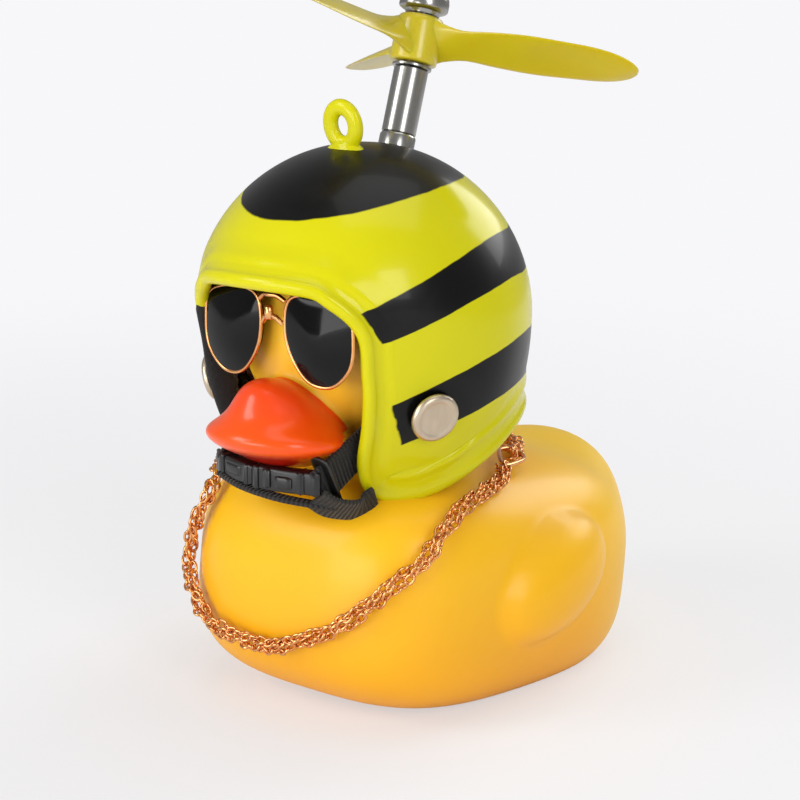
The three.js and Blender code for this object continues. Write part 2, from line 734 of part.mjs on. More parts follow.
// The buckle lies across the front of the throat between the two strap ends
function bucklePart(length, height, depth, x) {
  const shape = new THREE.Shape();
  const w = length / 2;
  const h = height / 2;
  const round = 1.1;
  shape.moveTo(-w + round, -h).lineTo(w - round, -h).quadraticCurveTo(w, -h, w, -h + round);
  shape.lineTo(w, h - round).quadraticCurveTo(w, h, w - round, h).lineTo(-w + round, h);
  shape.quadraticCurveTo(-w, h, -w, h - round).lineTo(-w, -h + round).quadraticCurveTo(-w, -h, -w + round, -h);
  const geometry = new THREE.ExtrudeGeometry(shape, {
    depth: depth - 0.8, bevelEnabled: true, bevelThickness: 0.4, bevelSize: 0.4, bevelOffset: -0.4, bevelSegments: 1,
    curveSegments: 4,
  });
  geometry.translate(0, 0, -(depth - 0.8) / 2).rotateX(Math.PI / 2);
  return geometry.translate(x, helmetCentre.y + strapFront, helmetCentre.z + strapLevel);
}

// A flat ring that holds the loose end of the left webbing
function strapSlider() {
  const curve = strapCurve(1);
  const frame = framesAlong(curve, strapGuide)(slider.place);
  const width = strap.width + 2 * clearance;
  const depth = strap.thickness + 2 * clearance;
  const frameBox = box(width + 2 * slider.rim, depth + 2 * slider.rim, slider.length, 0, 0, 0);
  const slot = box(width, depth, slider.length + 2, 0, 0, 0);
  const place = new THREE.Matrix4().makeBasis(frame.across, frame.out, frame.along.clone().negate());
  place.setPosition(frame.middle);
  return geometryOf(solid(frameBox).subtract(solid(slot))).applyMatrix4(place);
}

const buckleSplit = -1.2;

function buckleSocket() {
  const x = buckleSplit + buckle.length / 2 + clearance / 2;
  return bucklePart(buckle.length, buckle.height, buckle.depth, x);
}

function bucklePlug() {
  const x = buckleSplit - buckle.plugLength / 2 - clearance / 2;
  return bucklePart(buckle.plugLength, buckle.height - 0.6, buckle.depth - 0.4, x);
}

// Neck chain: round links on a loop that lies on the vinyl

function onVinyl(point, standOff) {
  const spot = point.clone();
  const step = 0.05;
  const normal = new THREE.Vector3();
  for (let i = 0; i < 8; i += 1) {
    const here = vinylField(spot);
    normal.set(
      vinylField(spot.clone().addScaledVector(axisX, step)) - here,
      vinylField(spot.clone().addScaledVector(axisY, step)) - here,
      vinylField(spot.clone().addScaledVector(axisZ, step)) - here,
    ).divideScalar(step);
    spot.addScaledVector(normal, (standOff - here) / normal.lengthSq());
  }
  return { spot, normal: normal.normalize() };
}

const chainHeight = link.width / 2 * Math.sin(link.roll * degrees) + link.wire / 2 * Math.cos(link.roll * degrees);
const chainStandOff = chainHeight + chainGap + 0.25;
const chainRoute = [
  [22, -1, 43], [25, -7, 41], [25.5, -16, 39], [25.3, -22, 37.3], [24.5, -30, 31.7], [18.5, -37.7, 23.8],
  [11.9, -40.5, 19.4], [0.6, -41.2, 14.3], [-12, -40, 14.7], [-20, -36.8, 18.5], [-24.5, -33.3, 24],
  [-22.1, -33.5, 30.4], [-19, -31, 36.5], [-23, -22, 38.5], [-25, -10, 41], [-21, 4, 44], [-12, 16, 46],
  [0, 21, 46], [11, 17, 46],
].map(([x, y, z]) => new THREE.Vector3(x, y, z));

const chainLoop = new THREE.CatmullRomCurve3(
  [...chainRoute, new THREE.Vector3(17.5, 9.5, 45)].map((p) => onVinyl(p, chainStandOff).spot),
);

function linkAt(distance, roll) {
  const t = distance / chainLoop.getLength();
  const { spot, normal } = onVinyl(chainLoop.getPointAt(t), chainStandOff);
  const along = chainLoop.getTangentAt(t);
  const out = normal.clone().addScaledVector(along, -normal.dot(along)).normalize();
  const across = new THREE.Vector3().crossVectors(out, along);
  const ring = new THREE.TorusGeometry(link.width / 2 - link.wire / 2, link.wire / 2, 3, 6);
  ring.scale(link.length / link.width, 1, 1).rotateX(roll);
  return ring.applyMatrix4(new THREE.Matrix4().makeBasis(along, across, out).setPosition(spot));
}

function neckChain() {
  const count = Math.floor((chainLoop.getLength() - link.length) / link.pitch);
  let chain = null;
  for (let i = 0; i <= count; i += 1) {
    const roll = (i % 2 ? 1 : -1) * link.roll * degrees;
    const ring = solid(linkAt(link.length / 2 + i * link.pitch, roll));
    chain = chain ? chain.add(ring) : ring;
  }
  return geometryOf(chain);
}

// The clasp closes the gap between the chain's two ends, behind the helmet on the left
function chainClasp() {
  const from = chainLoop.getPointAt(0);
  const to = chainLoop.getPointAt(1);
  const { spot, normal } = onVinyl(from.clone().lerp(to, 0.5), chainStandOff);
  const span = to.clone().sub(from);
  const along = span.clone().addScaledVector(normal, -span.dot(normal)).normalize();
  const across = new THREE.Vector3().crossVectors(normal, along);
  const radius = (clasp.width - clasp.wire) / 2;
  const ring = new THREE.TorusGeometry(radius, clasp.wire / 2, 6, 14);
  ring.scale((span.length() - 2 * clasp.endGap) / (2 * radius + clasp.wire), 1, 1);
  return ring.applyMatrix4(new THREE.Matrix4().makeBasis(along, across, normal).setPosition(spot));
}

// The object

const vinylYellow = { color: 0xf6b820, roughness: 0.35 };
const billRed = { color: 0xf4511a, roughness: 0.25 };
const shellYellow = { color: 0xd4d010, roughness: 0.22 };
const printBlack = { color: 0x1c1c1b, roughness: 0.25 };
const liningBlack = { color: 0x1a1a1a, roughness: 0.9 };
const webbing = { color: 0x1b1d1b, roughness: 0.85 };
const blackPlastic = { color: 0x131313, roughness: 0.3 };
const steel = { color: 0xc9bfae, roughness: 0.35, metalness: 1 };
const chrome = { color: 0xe4e4e4, roughness: 0.1, metalness: 1 };
const copperGold = { color: 0xc97a40, roughness: 0.3, metalness: 1 };
const lensBlack = { color: 0x101010, roughness: 0.08 };
const bladeYellow = { color: 0xd4bf14, roughness: 0.35 };

const duck = new THREE.Group();

function addPiece(name, geometry, finish) {
  const mesh = new THREE.Mesh(closedMesh(geometry), new THREE.MeshStandardMaterial(finish));
  mesh.name = name;
  duck.add(mesh);
}

addPiece('duck_body', duckBody(), vinylYellow);
addPiece('bill_paint', billPaint(), billRed);
addPiece('helmet_shell', helmetShell(), shellYellow);
addPiece('helmet_lining', helmetLining(), liningBlack);
addPiece('crown_print', crownPrint(), printBlack);
addPiece('upper_stripe_print', stripePrint(upperStripe), printBlack);
addPiece('lower_stripe_print', stripePrint(lowerStripe), printBlack);
for (const [word, side] of [['left', 1], ['right', -1]]) {
  addPiece(`snap_cap_${word}`, atSnap(snapCap(), side), steel);
  addPiece(`snap_stud_${word}`, atSnap(snapStud(), side), steel);
  addPiece(`strap_${word}`, strapGeometry(side), webbing);
  addPiece(`lens_${word}`, lensSolid(side), lensBlack);
}
addPiece('buckle_socket', buckleSocket(), blackPlastic);
addPiece('buckle_plug', bucklePlug(), blackPlastic);
addPiece('glasses_frame', glassesFrame(), copperGold);
addPiece('spindle_collar', atSpindle(spindleCollar()), steel);
addPiece('spindle_tube', atSpindle(sleeve(tube.diameter, screwBore, tubeFoot, tubeFoot + tube.length)), chrome);
addPiece('spindle_screw', atSpindle(spindleScrew()), steel);
addPiece('propeller_washer', atSpindle(sleeve(washer.diameter, screwBore, washerFoot, washerFoot + washer.height)), chrome);
addPiece('propeller', propeller(), bladeYellow);
addPiece('cap_nut', atSpindle(capNutGeometry()), chrome);
addPiece('neck_chain', neckChain(), copperGold);
addPiece('chain_clasp', chainClasp(), copperGold);
addPiece('strap_slider', strapSlider(), blackPlastic);

export default duck;
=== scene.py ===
import bpy
import numpy as np
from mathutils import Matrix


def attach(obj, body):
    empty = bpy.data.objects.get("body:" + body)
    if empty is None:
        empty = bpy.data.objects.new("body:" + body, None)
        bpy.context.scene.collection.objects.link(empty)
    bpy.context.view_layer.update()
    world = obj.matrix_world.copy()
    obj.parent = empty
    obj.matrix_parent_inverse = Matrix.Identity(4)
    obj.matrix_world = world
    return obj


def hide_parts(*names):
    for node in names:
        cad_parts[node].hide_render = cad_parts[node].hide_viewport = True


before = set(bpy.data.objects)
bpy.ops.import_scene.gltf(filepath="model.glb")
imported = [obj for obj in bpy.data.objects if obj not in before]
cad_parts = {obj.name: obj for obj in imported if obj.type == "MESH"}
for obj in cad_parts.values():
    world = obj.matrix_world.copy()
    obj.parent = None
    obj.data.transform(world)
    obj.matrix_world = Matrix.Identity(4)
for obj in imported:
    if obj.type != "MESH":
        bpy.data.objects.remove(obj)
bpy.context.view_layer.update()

# Lengths are in millimetres until a mesh is made, in the frame's directions: +Z up, the duck faces -Y,
# and +X is its left.
millimetre = 0.001
axisX, axisY, axisZ = np.eye(3)
bothSides = {"left": 1, "right": -1}


# Camera, floor and light

camera = {
    "azimuth": 38,
    "elevation": 13,
    "distance": 360,
    "target": (0, -6, 55),
    "focalPixels": 2000,
    "targetPixel": (391, 380),
    "pixels": 800,
    "sensor": 36,
}


def colour(red, green, blue):
    # A colour as a picture shows it, from 0 to 255, turned into the linear values that a shader takes
    shown = np.array([red, green, blue]) / 255
    return (*np.where(shown <= 0.04045, shown / 12.92, ((shown + 0.055) / 1.055) ** 2.4), 1.0)


def aimAt(thing, place, target):
    # Puts a camera or a lamp at a place, looking at the target
    ahead = unit(np.asarray(target, float) - place)
    right = unit(np.cross(ahead, axisZ))
    above = np.cross(right, ahead)
    matrix = np.eye(4)
    matrix[:3, 0], matrix[:3, 1], matrix[:3, 2] = right, above, -ahead
    matrix[:3, 3] = np.asarray(place, float) * millimetre
    thing.matrix_world = matrix.T.tolist()


def unit(vectors):
    return vectors / np.linalg.norm(vectors, axis=-1, keepdims=True)


def makeCamera():
    data = bpy.data.cameras.new("camera")
    data.sensor_width = camera["sensor"]
    data.lens = camera["focalPixels"] * camera["sensor"] / camera["pixels"]
    data.shift_x = 0.5 - camera["targetPixel"][0] / camera["pixels"]
    data.shift_y = camera["targetPixel"][1] / camera["pixels"] - 0.5
    data.clip_start = 0.01
    thing = bpy.data.objects.new("camera", data)
    bpy.context.collection.objects.link(thing)
    turn, rise = np.radians([camera["azimuth"], camera["elevation"]])
    toward = np.array([np.sin(turn) * np.cos(rise), -np.cos(turn) * np.cos(rise), np.sin(rise)])
    target = np.array(camera["target"], float)
    aimAt(thing, target + toward * camera["distance"], target)
    bpy.context.scene.camera = thing


makeCamera()


# Shaders

class Value:
    # A number that changes over a surface: a socket that adds Math nodes as it is used in a sum

    def __init__(self, paint, socket):
        self.paint = paint
        self.socket = socket

    def sum(self, operation, *others):
        return self.paint.node("ShaderNodeMath", {"operation": operation}, dict(enumerate(others)))

    def __add__(self, other):
        return self.sum("ADD", self, other)

    def __mul__(self, other):
        return self.sum("MULTIPLY", self, other)

    def __sub__(self, other):
        return self.sum("SUBTRACT", self, other)

    def __rsub__(self, other):
        return self.sum("SUBTRACT", other, self)

    def rises(self, low, high):
        # 0 below low, 1 above high, smooth between
        settings = {"interpolation_type": "SMOOTHSTEP"}
        inputs = {"Value": self, "From Min": low, "From Max": high}
        return self.paint.node("ShaderNodeMapRange", settings, inputs)

    __radd__ = __add__
    __rmul__ = __mul__


class Paint:
    # One material: a Principled shader, its constants on its own sockets, and what varies linked to it

    def __init__(self, name, base, roughness, metallic=0.0, **constants):
        self.material = bpy.data.materials.new(name)
        self.material.use_nodes = True
        self.tree = self.material.node_tree
        self.shader = self.tree.nodes["Principled BSDF"]
        fixed = {"Base Color": base, "Roughness": roughness, "Metallic": metallic}
        fixed.update({key.replace("_", " "): value for key, value in constants.items()})
        for key, value in fixed.items():
            self.shader.inputs[key].default_value = value

    def node(self, kind, settings=None, inputs=None, output=0):
        made = self.tree.nodes.new(kind)
        for key, value in (settings or {}).items():
            setattr(made, key, value)
        for key, value in (inputs or {}).items():
            if isinstance(value, Value):
                self.tree.links.new(value.socket, made.inputs[key])
            else:
                made.inputs[key].default_value = value
        return Value(self, made.outputs[output])

    def feed(self, name, value):
        self.tree.links.new(value.socket, self.shader.inputs[name])

    def place(self, turn=None, stretch=(1, 1, 1)):
        # The point on the object, in metres, turned and stretched for a pattern
        spot = self.node("ShaderNodeTexCoord", output=3)
        if turn is None and stretch == (1, 1, 1):
            return spot
        inputs = {"Vector": spot, "Rotation": turn or (0, 0, 0), "Scale": stretch}
        return self.node("ShaderNodeMapping", None, inputs)

    def part(self, vector, which):
        return self.node("ShaderNodeSeparateXYZ", None, {"Vector": vector}, which)

    def mark(self, name):
        return self.node("ShaderNodeAttribute", {"attribute_name": name}, None, 2)

    def noise(self, scale, detail=2.0, where=None):
        inputs = {"Vector": where or self.place(), "Scale": scale, "Detail": detail}
        return self.node("ShaderNodeTexNoise", None, inputs)

    def mix(self, amount, first, second):
        # Colours are the sixth and seventh sockets of a Mix node, and its third result
        settings = {"data_type": "RGBA"}
        return self.node("ShaderNodeMix", settings, {0: amount, 6: first, 7: second}, 2)

    def bump(self, height, strength, distance):
        inputs = {"Height": height, "Strength": strength, "Distance": distance}
        self.feed("Normal", self.node("ShaderNodeBump", None, inputs))


backdrop = {
    "shade": colour(247, 247, 249),
    "floorSize": 3000,
    "worldLight": 0.34,
    "nearGlow": 0.55,
    "glowFrom": 0.07,
    "glowTo": 0.42,
}


def mixShaders(tree, share, first, second):
    made = tree.nodes.new("ShaderNodeMixShader")
    for source, entry in zip((share, first, second), made.inputs):
        tree.links.new(source, entry)
    return made.outputs[0]


def makeStage():
    # A white world that only the camera sees, dimmer for everything else, and a paper floor that glows
    # more with the distance from the duck
    world = bpy.data.worlds.new("studio")
    bpy.context.scene.world = world
    world.use_nodes = True
    tree = world.node_tree
    tree.nodes.clear()
    path = tree.nodes.new("ShaderNodeLightPath")
    seen = path.outputs["Is Camera Ray"]
    shown = tree.nodes.new("ShaderNodeBackground")
    shown.inputs["Color"].default_value = backdrop["shade"]
    lit = tree.nodes.new("ShaderNodeBackground")
    lit.inputs["Color"].default_value = (1, 1, 1, 1)
    lit.inputs["Strength"].default_value = backdrop["worldLight"]
    out = tree.nodes.new("ShaderNodeOutputWorld")
    tree.links.new(mixShaders(tree, seen, lit.outputs[0], shown.outputs[0]), out.inputs[0])

    half = backdrop["floorSize"] / 2 * millimetre
    mesh = bpy.data.meshes.new("floor")
    corners = [(-half, -half, 0), (half, -half, 0), (half, half, 0), (-half, half, 0)]
    mesh.from_pydata(corners, [], [(0, 1, 2, 3)])
    floor = bpy.data.objects.new("floor", mesh)
    bpy.context.collection.objects.link(floor)
    paper = Paint("paper", colour(244, 244, 246), 0.75)
    tree = paper.tree
    path = tree.nodes.new("ShaderNodeLightPath")
    glow = tree.nodes.new("ShaderNodeEmission")
    glow.inputs["Color"].default_value = backdrop["shade"]
    away = paper.node("ShaderNodeVectorMath", {"operation": "LENGTH"}, {0: paper.place()}, 1)
    away = away.rises(backdrop["glowFrom"], backdrop["glowTo"])
    share = away * (1 - backdrop["nearGlow"]) + backdrop["nearGlow"]
    seen = share * Value(paper, path.outputs["Is Camera Ray"])
    both = mixShaders(tree, seen.socket, paper.shader.outputs[0], glow.outputs[0])
    tree.links.new(both, tree.nodes["Material Output"].inputs[0])
    mesh.materials.append(paper.material)


lamps = {
    "window": {"place": (-330, -560, 380), "size": (260, 340), "watts": 1.5},
    "side": {"place": (620, -330, 330), "size": (240, 420), "watts": 1.72},
    "above": {"place": (60, 60, 720), "size": (520, 520), "watts": 1.12},
    "front": {"place": (-60, -640, 110), "size": (420, 220), "watts": 1.38},
    "behind": {"place": (120, 620, 360), "size": (420, 300), "watts": 1.46},
}
litPoint = (0, -8, 60)


def makeLamps():
    for name, lamp in lamps.items():
        data = bpy.data.lights.new(name, "AREA")
        data.shape = "RECTANGLE"
        data.size, data.size_y = (side * millimetre for side in lamp["size"])
        data.energy = lamp["watts"]
        thing = bpy.data.objects.new(name, data)
        bpy.context.collection.objects.link(thing)
        aimAt(thing, lamp["place"], litPoint)


makeStage()
makeLamps()
bpy.context.scene.view_settings.view_transform = "Standard"
print("stage, lamps and camera made")


# Shapes: a solid is (points, quads, triangles), worked out as whole arrays

def smoothstep(value, low, high):
    # Rises from 0 at low to 1 at high along 3t² - 2t³
    t = np.clip((value - low) / (high - low), 0, 1)
    return t * t * (3 - 2 * t)


def lengthsAlong(path):
    # The distance from the start of a path to each of its points
    return np.concatenate([[0], np.cumsum(np.linalg.norm(np.diff(path, axis=0), axis=1))])


def readAt(wanted, known, rows):
    # Rows of numbers that are known at some places, read between them
    return np.stack([np.interp(wanted, known, column) for column in rows.T], axis=1)


def reachWithin(inside, far, halvings):
    # The distance at which each test turns false, found by halving between 0 and far
    near = np.zeros_like(far)
    for _ in range(halvings):
        middle = (near + far) / 2
        kept = inside(middle)
        near = np.where(kept, middle, near)
        far = np.where(kept, far, middle)
    return near


def curveThrough(points, count, closed=False):
    # The Catmull-Rom curve: each span is the cubic whose slope at a point is half the chord between its
    # neighbours. The result is evenly spaced along its length.
    points = np.asarray(points, float)
    if closed:
        padded = np.vstack([points[-1:], points, points[:2]])
    else:
        padded = np.vstack([2 * points[:1] - points[1:2], points, 2 * points[-1:] - points[-2:-1]])
    a, b, c, d = padded[:-3, None], padded[1:-2, None], padded[2:-1, None], padded[3:, None]
    t = np.linspace(0, 1, 32, endpoint=False)[None, :, None]
    spans = b + 0.5 * ((c - a) * t + (2 * a - 5 * b + 4 * c - d) * t**2 + (3 * b - a - 3 * c + d) * t**3)
    fine = np.vstack([spans.reshape(-1, points.shape[1]), c[-1]])
    lengths = lengthsAlong(fine)
    return readAt(np.linspace(0, lengths[-1], count, endpoint=not closed), lengths, fine)


def slopes(path, closed=False):
    if closed:
        return unit(np.roll(path, -1, axis=0) - np.roll(path, 1, axis=0))
    return unit(np.gradient(path, axis=0))


def framesAlong(path, guide, closed=False):
    # At each point of the path, out is the guide made square to the path, and across is square to both
    along = slopes(path, closed)
    guide = np.broadcast_to(guide, path.shape)
    out = unit(guide - np.sum(guide * along, axis=1, keepdims=True) * along)
    return along, np.cross(along, out), out


def carried(path, outline, guide, closed=False, scale=None):
    # A profile of (across, out) pairs carried along a path, each section scaled by its own number
    _, across, out = framesAlong(path, guide, closed)
    outline = np.asarray(outline, float)
    scale = np.ones(len(path)) if scale is None else scale
    sideways = outline[None, :, 0, None] * across[:, None] * scale[:, None, None]
    outwards = outline[None, :, 1, None] * out[:, None] * scale[:, None, None]
    return path[:, None] + sideways + outwards


def circle(radius, sides, squash=1.0):
    angle = np.linspace(0, 2 * np.pi, sides, endpoint=False)
    return np.stack([radius * np.cos(angle), radius * squash * np.sin(angle)], axis=1)


def roundedBar(width, depth, radius, perCorner=4):
    # The outline of a rectangle whose corners are quarter circles
    angle = np.linspace(0, np.pi / 2, perCorner)
    corners = []
    for turn, (sx, sy) in enumerate([(1, 1), (-1, 1), (-1, -1), (1, -1)]):
        centre = np.array([sx * (width / 2 - radius), sy * (depth / 2 - radius)])
        swept = angle + turn * np.pi / 2
        corners.append(centre + radius * np.stack([np.cos(swept), np.sin(swept)], axis=1))
    return np.vstack(corners)


def wrapped(grid, closedRows=False):
    # The solid of a grid whose columns close on themselves. Open ends are closed with a fan.
    rows, columns = grid.shape[:2]
    index = np.arange(rows * columns).reshape(rows, columns)
    lower, upper = (index, np.roll(index, -1, axis=0)) if closedRows else (index[:-1], index[1:])
    quads = np.stack([lower, np.roll(lower, -1, axis=1), np.roll(upper, -1, axis=1), upper], axis=-1)
    quads = quads.reshape(-1, 4)
    points = grid.reshape(-1, 3)
    triangles = np.empty((0, 3), int)
    if not closedRows:
        hubs = np.stack([grid[0].mean(axis=0), grid[-1].mean(axis=0)])
        first, last = rows * columns, rows * columns + 1
        start = np.stack([np.full(columns, first), np.roll(index[0], -1), index[0]], axis=1)
        end = np.stack([np.full(columns, last), index[-1], np.roll(index[-1], -1)], axis=1)
        points = np.vstack([points, hubs])
        triangles = np.vstack([start, end])
    return facingOut(points, quads, triangles)


def facingOut(points, quads, triangles):
    # The volume inside is the sum of the faces' triple products, and is positive when they face outwards
    a, b, c, d = (points[quads[:, k]] for k in range(4))
    volume = np.sum(a * (np.cross(b, c) + np.cross(c, d)))
    if len(triangles):
        a, b, c = (points[triangles[:, k]] for k in range(3))
        volume += np.sum(a * np.cross(b, c))
    if volume < 0:
        return points, quads[:, ::-1], triangles[:, ::-1]
    return points, quads, triangles


def turned(profile, sides, place, direction, closed=False):
    # A profile of (radius, height) pairs turned about an axis
    direction = unit(np.asarray(direction, float))
    first = unit(np.cross(direction, axisX if abs(direction[0]) < 0.9 else axisY))
    second = np.cross(direction, first)
    angle = np.linspace(0, 2 * np.pi, sides, endpoint=False)
    ring = np.cos(angle)[:, None] * first + np.sin(angle)[:, None] * second
    profile = np.asarray(profile, float)[:, :, None, None]
    grid = profile[:, 0] * ring + profile[:, 1] * direction + np.asarray(place, float)
    return wrapped(grid, closed)


def piece(name, solids, paint, replaced=(), body="duck", sharp=38, marks=None):
    # Joins solids into one mesh. marks holds numbers for each point, under the name that a material
    # reads.
    offsets = np.cumsum([0] + [len(s[0]) for s in solids])
    points = np.vstack([s[0] for s in solids]) * millimetre
    faces = []
    for offset, (_, quads, triangles) in zip(offsets, solids):
        faces += (quads + offset).tolist() + (triangles + offset).tolist()
    mesh = bpy.data.meshes.new(name)
    mesh.from_pydata(points.tolist(), [], faces)
    for mark, values in (marks or {}).items():
        layer = mesh.attributes.new(mark, "FLOAT", "POINT")
        layer.data.foreach_set("value", np.asarray(values, np.float32))
    mesh.materials.append(paint.material)
    mesh.shade_smooth()
    mesh.set_sharp_from_angle(angle=np.radians(sharp))
    thing = bpy.data.objects.new(name, mesh)
    bpy.context.collection.objects.link(thing)
    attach(thing, body)
    if replaced:
        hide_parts(*replaced)
    return thing


# Vinyl body: the smooth union of rounded lobes, as a field that is negative inside

duck = {
    "hull": {"at": (0, 2.1, 18.9), "half": (31.6, 39.8, 22.7), "pitch": -7.6, "power": 3.2},
    "tail": {"at": (0, 35.4, 25.4), "half": (17.8, 15.6, 6.7), "pitch": 35, "join": 9},
    "wing": {"at": (30, 0.5, 22.2), "half": (7.2, 16, 10), "pitch": 14, "join": 1.6},
    "head": {"at": (0, -13, 68.8), "half": (22.5, 22.6, 24.4), "join": 9},
    "neck": {"at": (0, -9.8, 45), "half": (15.6, 14.8, 13), "join": 4},
    "upperBill": {"at": (0, -37.6, 51.2), "half": (12.4, 10.9, 3.5), "pitch": -6},
    "billRidge": {"at": (0, -35.4, 53.7), "half": (7.2, 10.2, 5.8), "pitch": -37, "join": 6},
    "lowerBill": {"at": (0, -35, 48.8), "half": (9.2, 8, 3.2), "pitch": -4, "join": 0.6},
    "billJoin": 2.5,
    "sight": (0, -10, 45),
    "sightBehind": (0, 14, 27),
    "around": 376,
    "upright": 250,
    "closerAhead": 0.45,
    "ventAt": (0, 12),
    "ventRadius": 1.5,
}


def lobeField(points, lobe):
    # Roughly the distance to a lobe: size is the power mean of the scaled coordinates, 1 on the surface,
    # and the distance is size (size - 1) over the slope. The lobe stands on both sides of the middle.
    power = lobe.get("power", 2)
    angle = np.radians(lobe.get("pitch", 0))
    dx = np.abs(points[..., 0]) - lobe["at"][0]
    dy = points[..., 1] - lobe["at"][1]
    dz = points[..., 2] - lobe["at"][2]
    along = dy * np.cos(angle) + dz * np.sin(angle)
    above = -dy * np.sin(angle) + dz * np.cos(angle)
    scaled = np.stack([dx, along, above], axis=-1) / lobe["half"]
    size = np.sum(np.abs(scaled) ** power, axis=-1) ** (1 / power)
    slope = np.linalg.norm(scaled / lobe["half"], axis=-1) + 1e-9
    return size * (size - 1) / slope


def smoothJoin(first, second, blend):
    # The nearer of two fields, rounded where they differ by less than the blend
    overlap = np.maximum(blend - np.abs(first - second), 0) / blend
    return np.minimum(first, second) - overlap**2 * blend / 4


def joinedLobes(points, first, others):
    # The first lobe, with each of the others rounded into it by its own join
    field = lobeField(points, duck[first])
    for name in others:
        field = smoothJoin(field, lobeField(points, duck[name]), duck[name]["join"])
    return field


def billField(points):
    return joinedLobes(points, "upperBill", ("billRidge", "lowerBill"))


def vinylField(points):
    body = joinedLobes(points, "hull", ("tail", "wing", "head", "neck"))
    return smoothJoin(body, billField(points), duck["billJoin"])


def onVinyl(points, standOff):
    # Moves points along the field's slope until each is the stand-off from the vinyl. Returns them and
    # the normals.
    step = 0.05
    spots = np.array(points, float)
    for _ in range(10):
        here = vinylField(spots)
        ahead = [vinylField(spots + step * axis) for axis in (axisX, axisY, axisZ)]
        normal = (np.stack(ahead, axis=-1) - here[:, None]) / step
        spots = spots + normal * ((standOff - here) / np.sum(normal**2, axis=-1))[:, None]
    return spots, unit(normal)


def vinylBody():
    # Rays from the sight point in all directions, closer together towards the face, each cut where the
    # field is zero or at the flat base. Those that point down and back start further that way.
    turn = np.linspace(0, 2 * np.pi, duck["around"], endpoint=False)
    azimuth = turn - duck["closerAhead"] * np.sin(turn)
    polar = np.linspace(0, np.pi, duck["upright"] + 1)[1:-1, None]
    rays = np.stack([np.sin(polar) * np.sin(azimuth), -np.sin(polar) * np.cos(azimuth),
                     np.cos(polar) * np.ones_like(azimuth)], axis=-1)
    front, behind = np.array(duck["sight"], float), np.array(duck["sightBehind"], float)
    share = smoothstep(rays @ unit(behind - front), 0.0, 0.9)[..., None]
    sight = front + share * (behind - front)
    farthest = np.full(rays.shape[:2], 100.0)
    toVinyl = reachWithin(lambda reach: vinylField(sight + rays * reach[..., None]) < 0, farthest, 24)
    toBase = np.where(rays[..., 2] < 0, -sight[..., 2] / np.minimum(rays[..., 2], -1e-6), 1e3)
    return wrapped(sight + rays * np.minimum(toVinyl, toBase)[..., None])


vinyl = Paint("softVinyl", colour(250, 190, 30), 0.33, Coat_Roughness=0.12, Specular_IOR_Level=0.3,
              Subsurface_Weight=0.08, Subsurface_Scale=0.003, Subsurface_Radius=(1, 0.6, 0.15))


def paintVinyl():
    # Yellow with painted shade that deepens it towards the base and painted light that pales it at the
    # tail and face, with faint clouds and specks, and the orange bill whose darker red underside is partly
    # its paint and partly painted shade
    spot = vinyl.place()
    height = vinyl.part(spot, 2)
    behind = vinyl.part(spot, 1)
    # Painted shade: the yellow turns deeper towards the base
    low = 1 - height.rises(0.002, 0.034)
    yellow = vinyl.mix(low * 0.75, colour(252, 192, 24), colour(242, 166, 14))
    # Painted highlight: the yellow pales towards the tail
    yellow = vinyl.mix(behind.rises(0.005, 0.042) * 0.5, yellow, colour(254, 220, 60))
    # Painted light: the yellow pales on the head, where the helmet shades it
    face = height.rises(0.044, 0.052)
    yellow = vinyl.mix(face * 0.5, yellow, colour(255, 204, 64))
    cloud = vinyl.noise(38.0, 3.0)
    yellow = vinyl.mix(cloud.rises(0.35, 0.75) * 0.12, yellow, colour(228, 150, 16))
    speck = vinyl.noise(420.0, 1.0).rises(0.80, 0.83)
    yellow = vinyl.mix(speck * 0.5, yellow, colour(150, 96, 20))
    # Painted shade: a dark disc at the vent stands for the shade inside its hole
    vent = vinyl.mark("vent").rises(0.0, 0.3)
    yellow = vinyl.mix(vent, yellow, colour(40, 25, 5))
    bill = 1 - (vinyl.mark("billEdge") + vinyl.noise(240.0, 2.0) * 0.16).rises(0.42, 0.56)
    # The bill's darker red underside is partly its paint and partly painted shade
    under = 1 - vinyl.mark("billHeight").rises(-3.4, -0.6)
    orange = vinyl.mix(under, colour(252, 84, 6), colour(176, 26, 6))
    ridge = vinyl.mark("billHeight").rises(1.5, 6.5)
    orange = vinyl.mix(ridge * 0.6, orange, colour(244, 66, 24))
    vinyl.feed("Base Color", vinyl.mix(bill, yellow, orange))
    vinyl.feed("Roughness", 0.36 - bill * 0.1 + cloud * 0.05)
    vinyl.feed("Coat Weight", bill * 0.22 + 0.08)
    vinyl.bump(vinyl.noise(160.0, 2.0), 0.08, 0.0006)


def makeDuck():
    solid = vinylBody()
    points = solid[0]
    fromVent = np.linalg.norm(points[:, :2] - duck["ventAt"], axis=1)
    onBase = points[:, 2] < 0.1
    angle = np.radians(duck["upperBill"]["pitch"])
    ahead = points - np.array(duck["upperBill"]["at"])
    marks = {
        "billEdge": np.clip(billField(points), -3, 3),
        "billHeight": np.clip(ahead[:, 2] * np.cos(angle) - ahead[:, 1] * np.sin(angle), -8, 8),
        "vent": np.where(onBase & (fromVent < duck["ventRadius"]), 1.0, 0.0),
    }
    paintVinyl()
    piece("duck", [solid], vinyl, ("duck_body", "bill_paint"), marks=marks, sharp=60)
    print("duck body made")


makeDuck()


# Helmet: an egg around its centre, cut by one side profile that runs peak, cheek edge, ear, nape

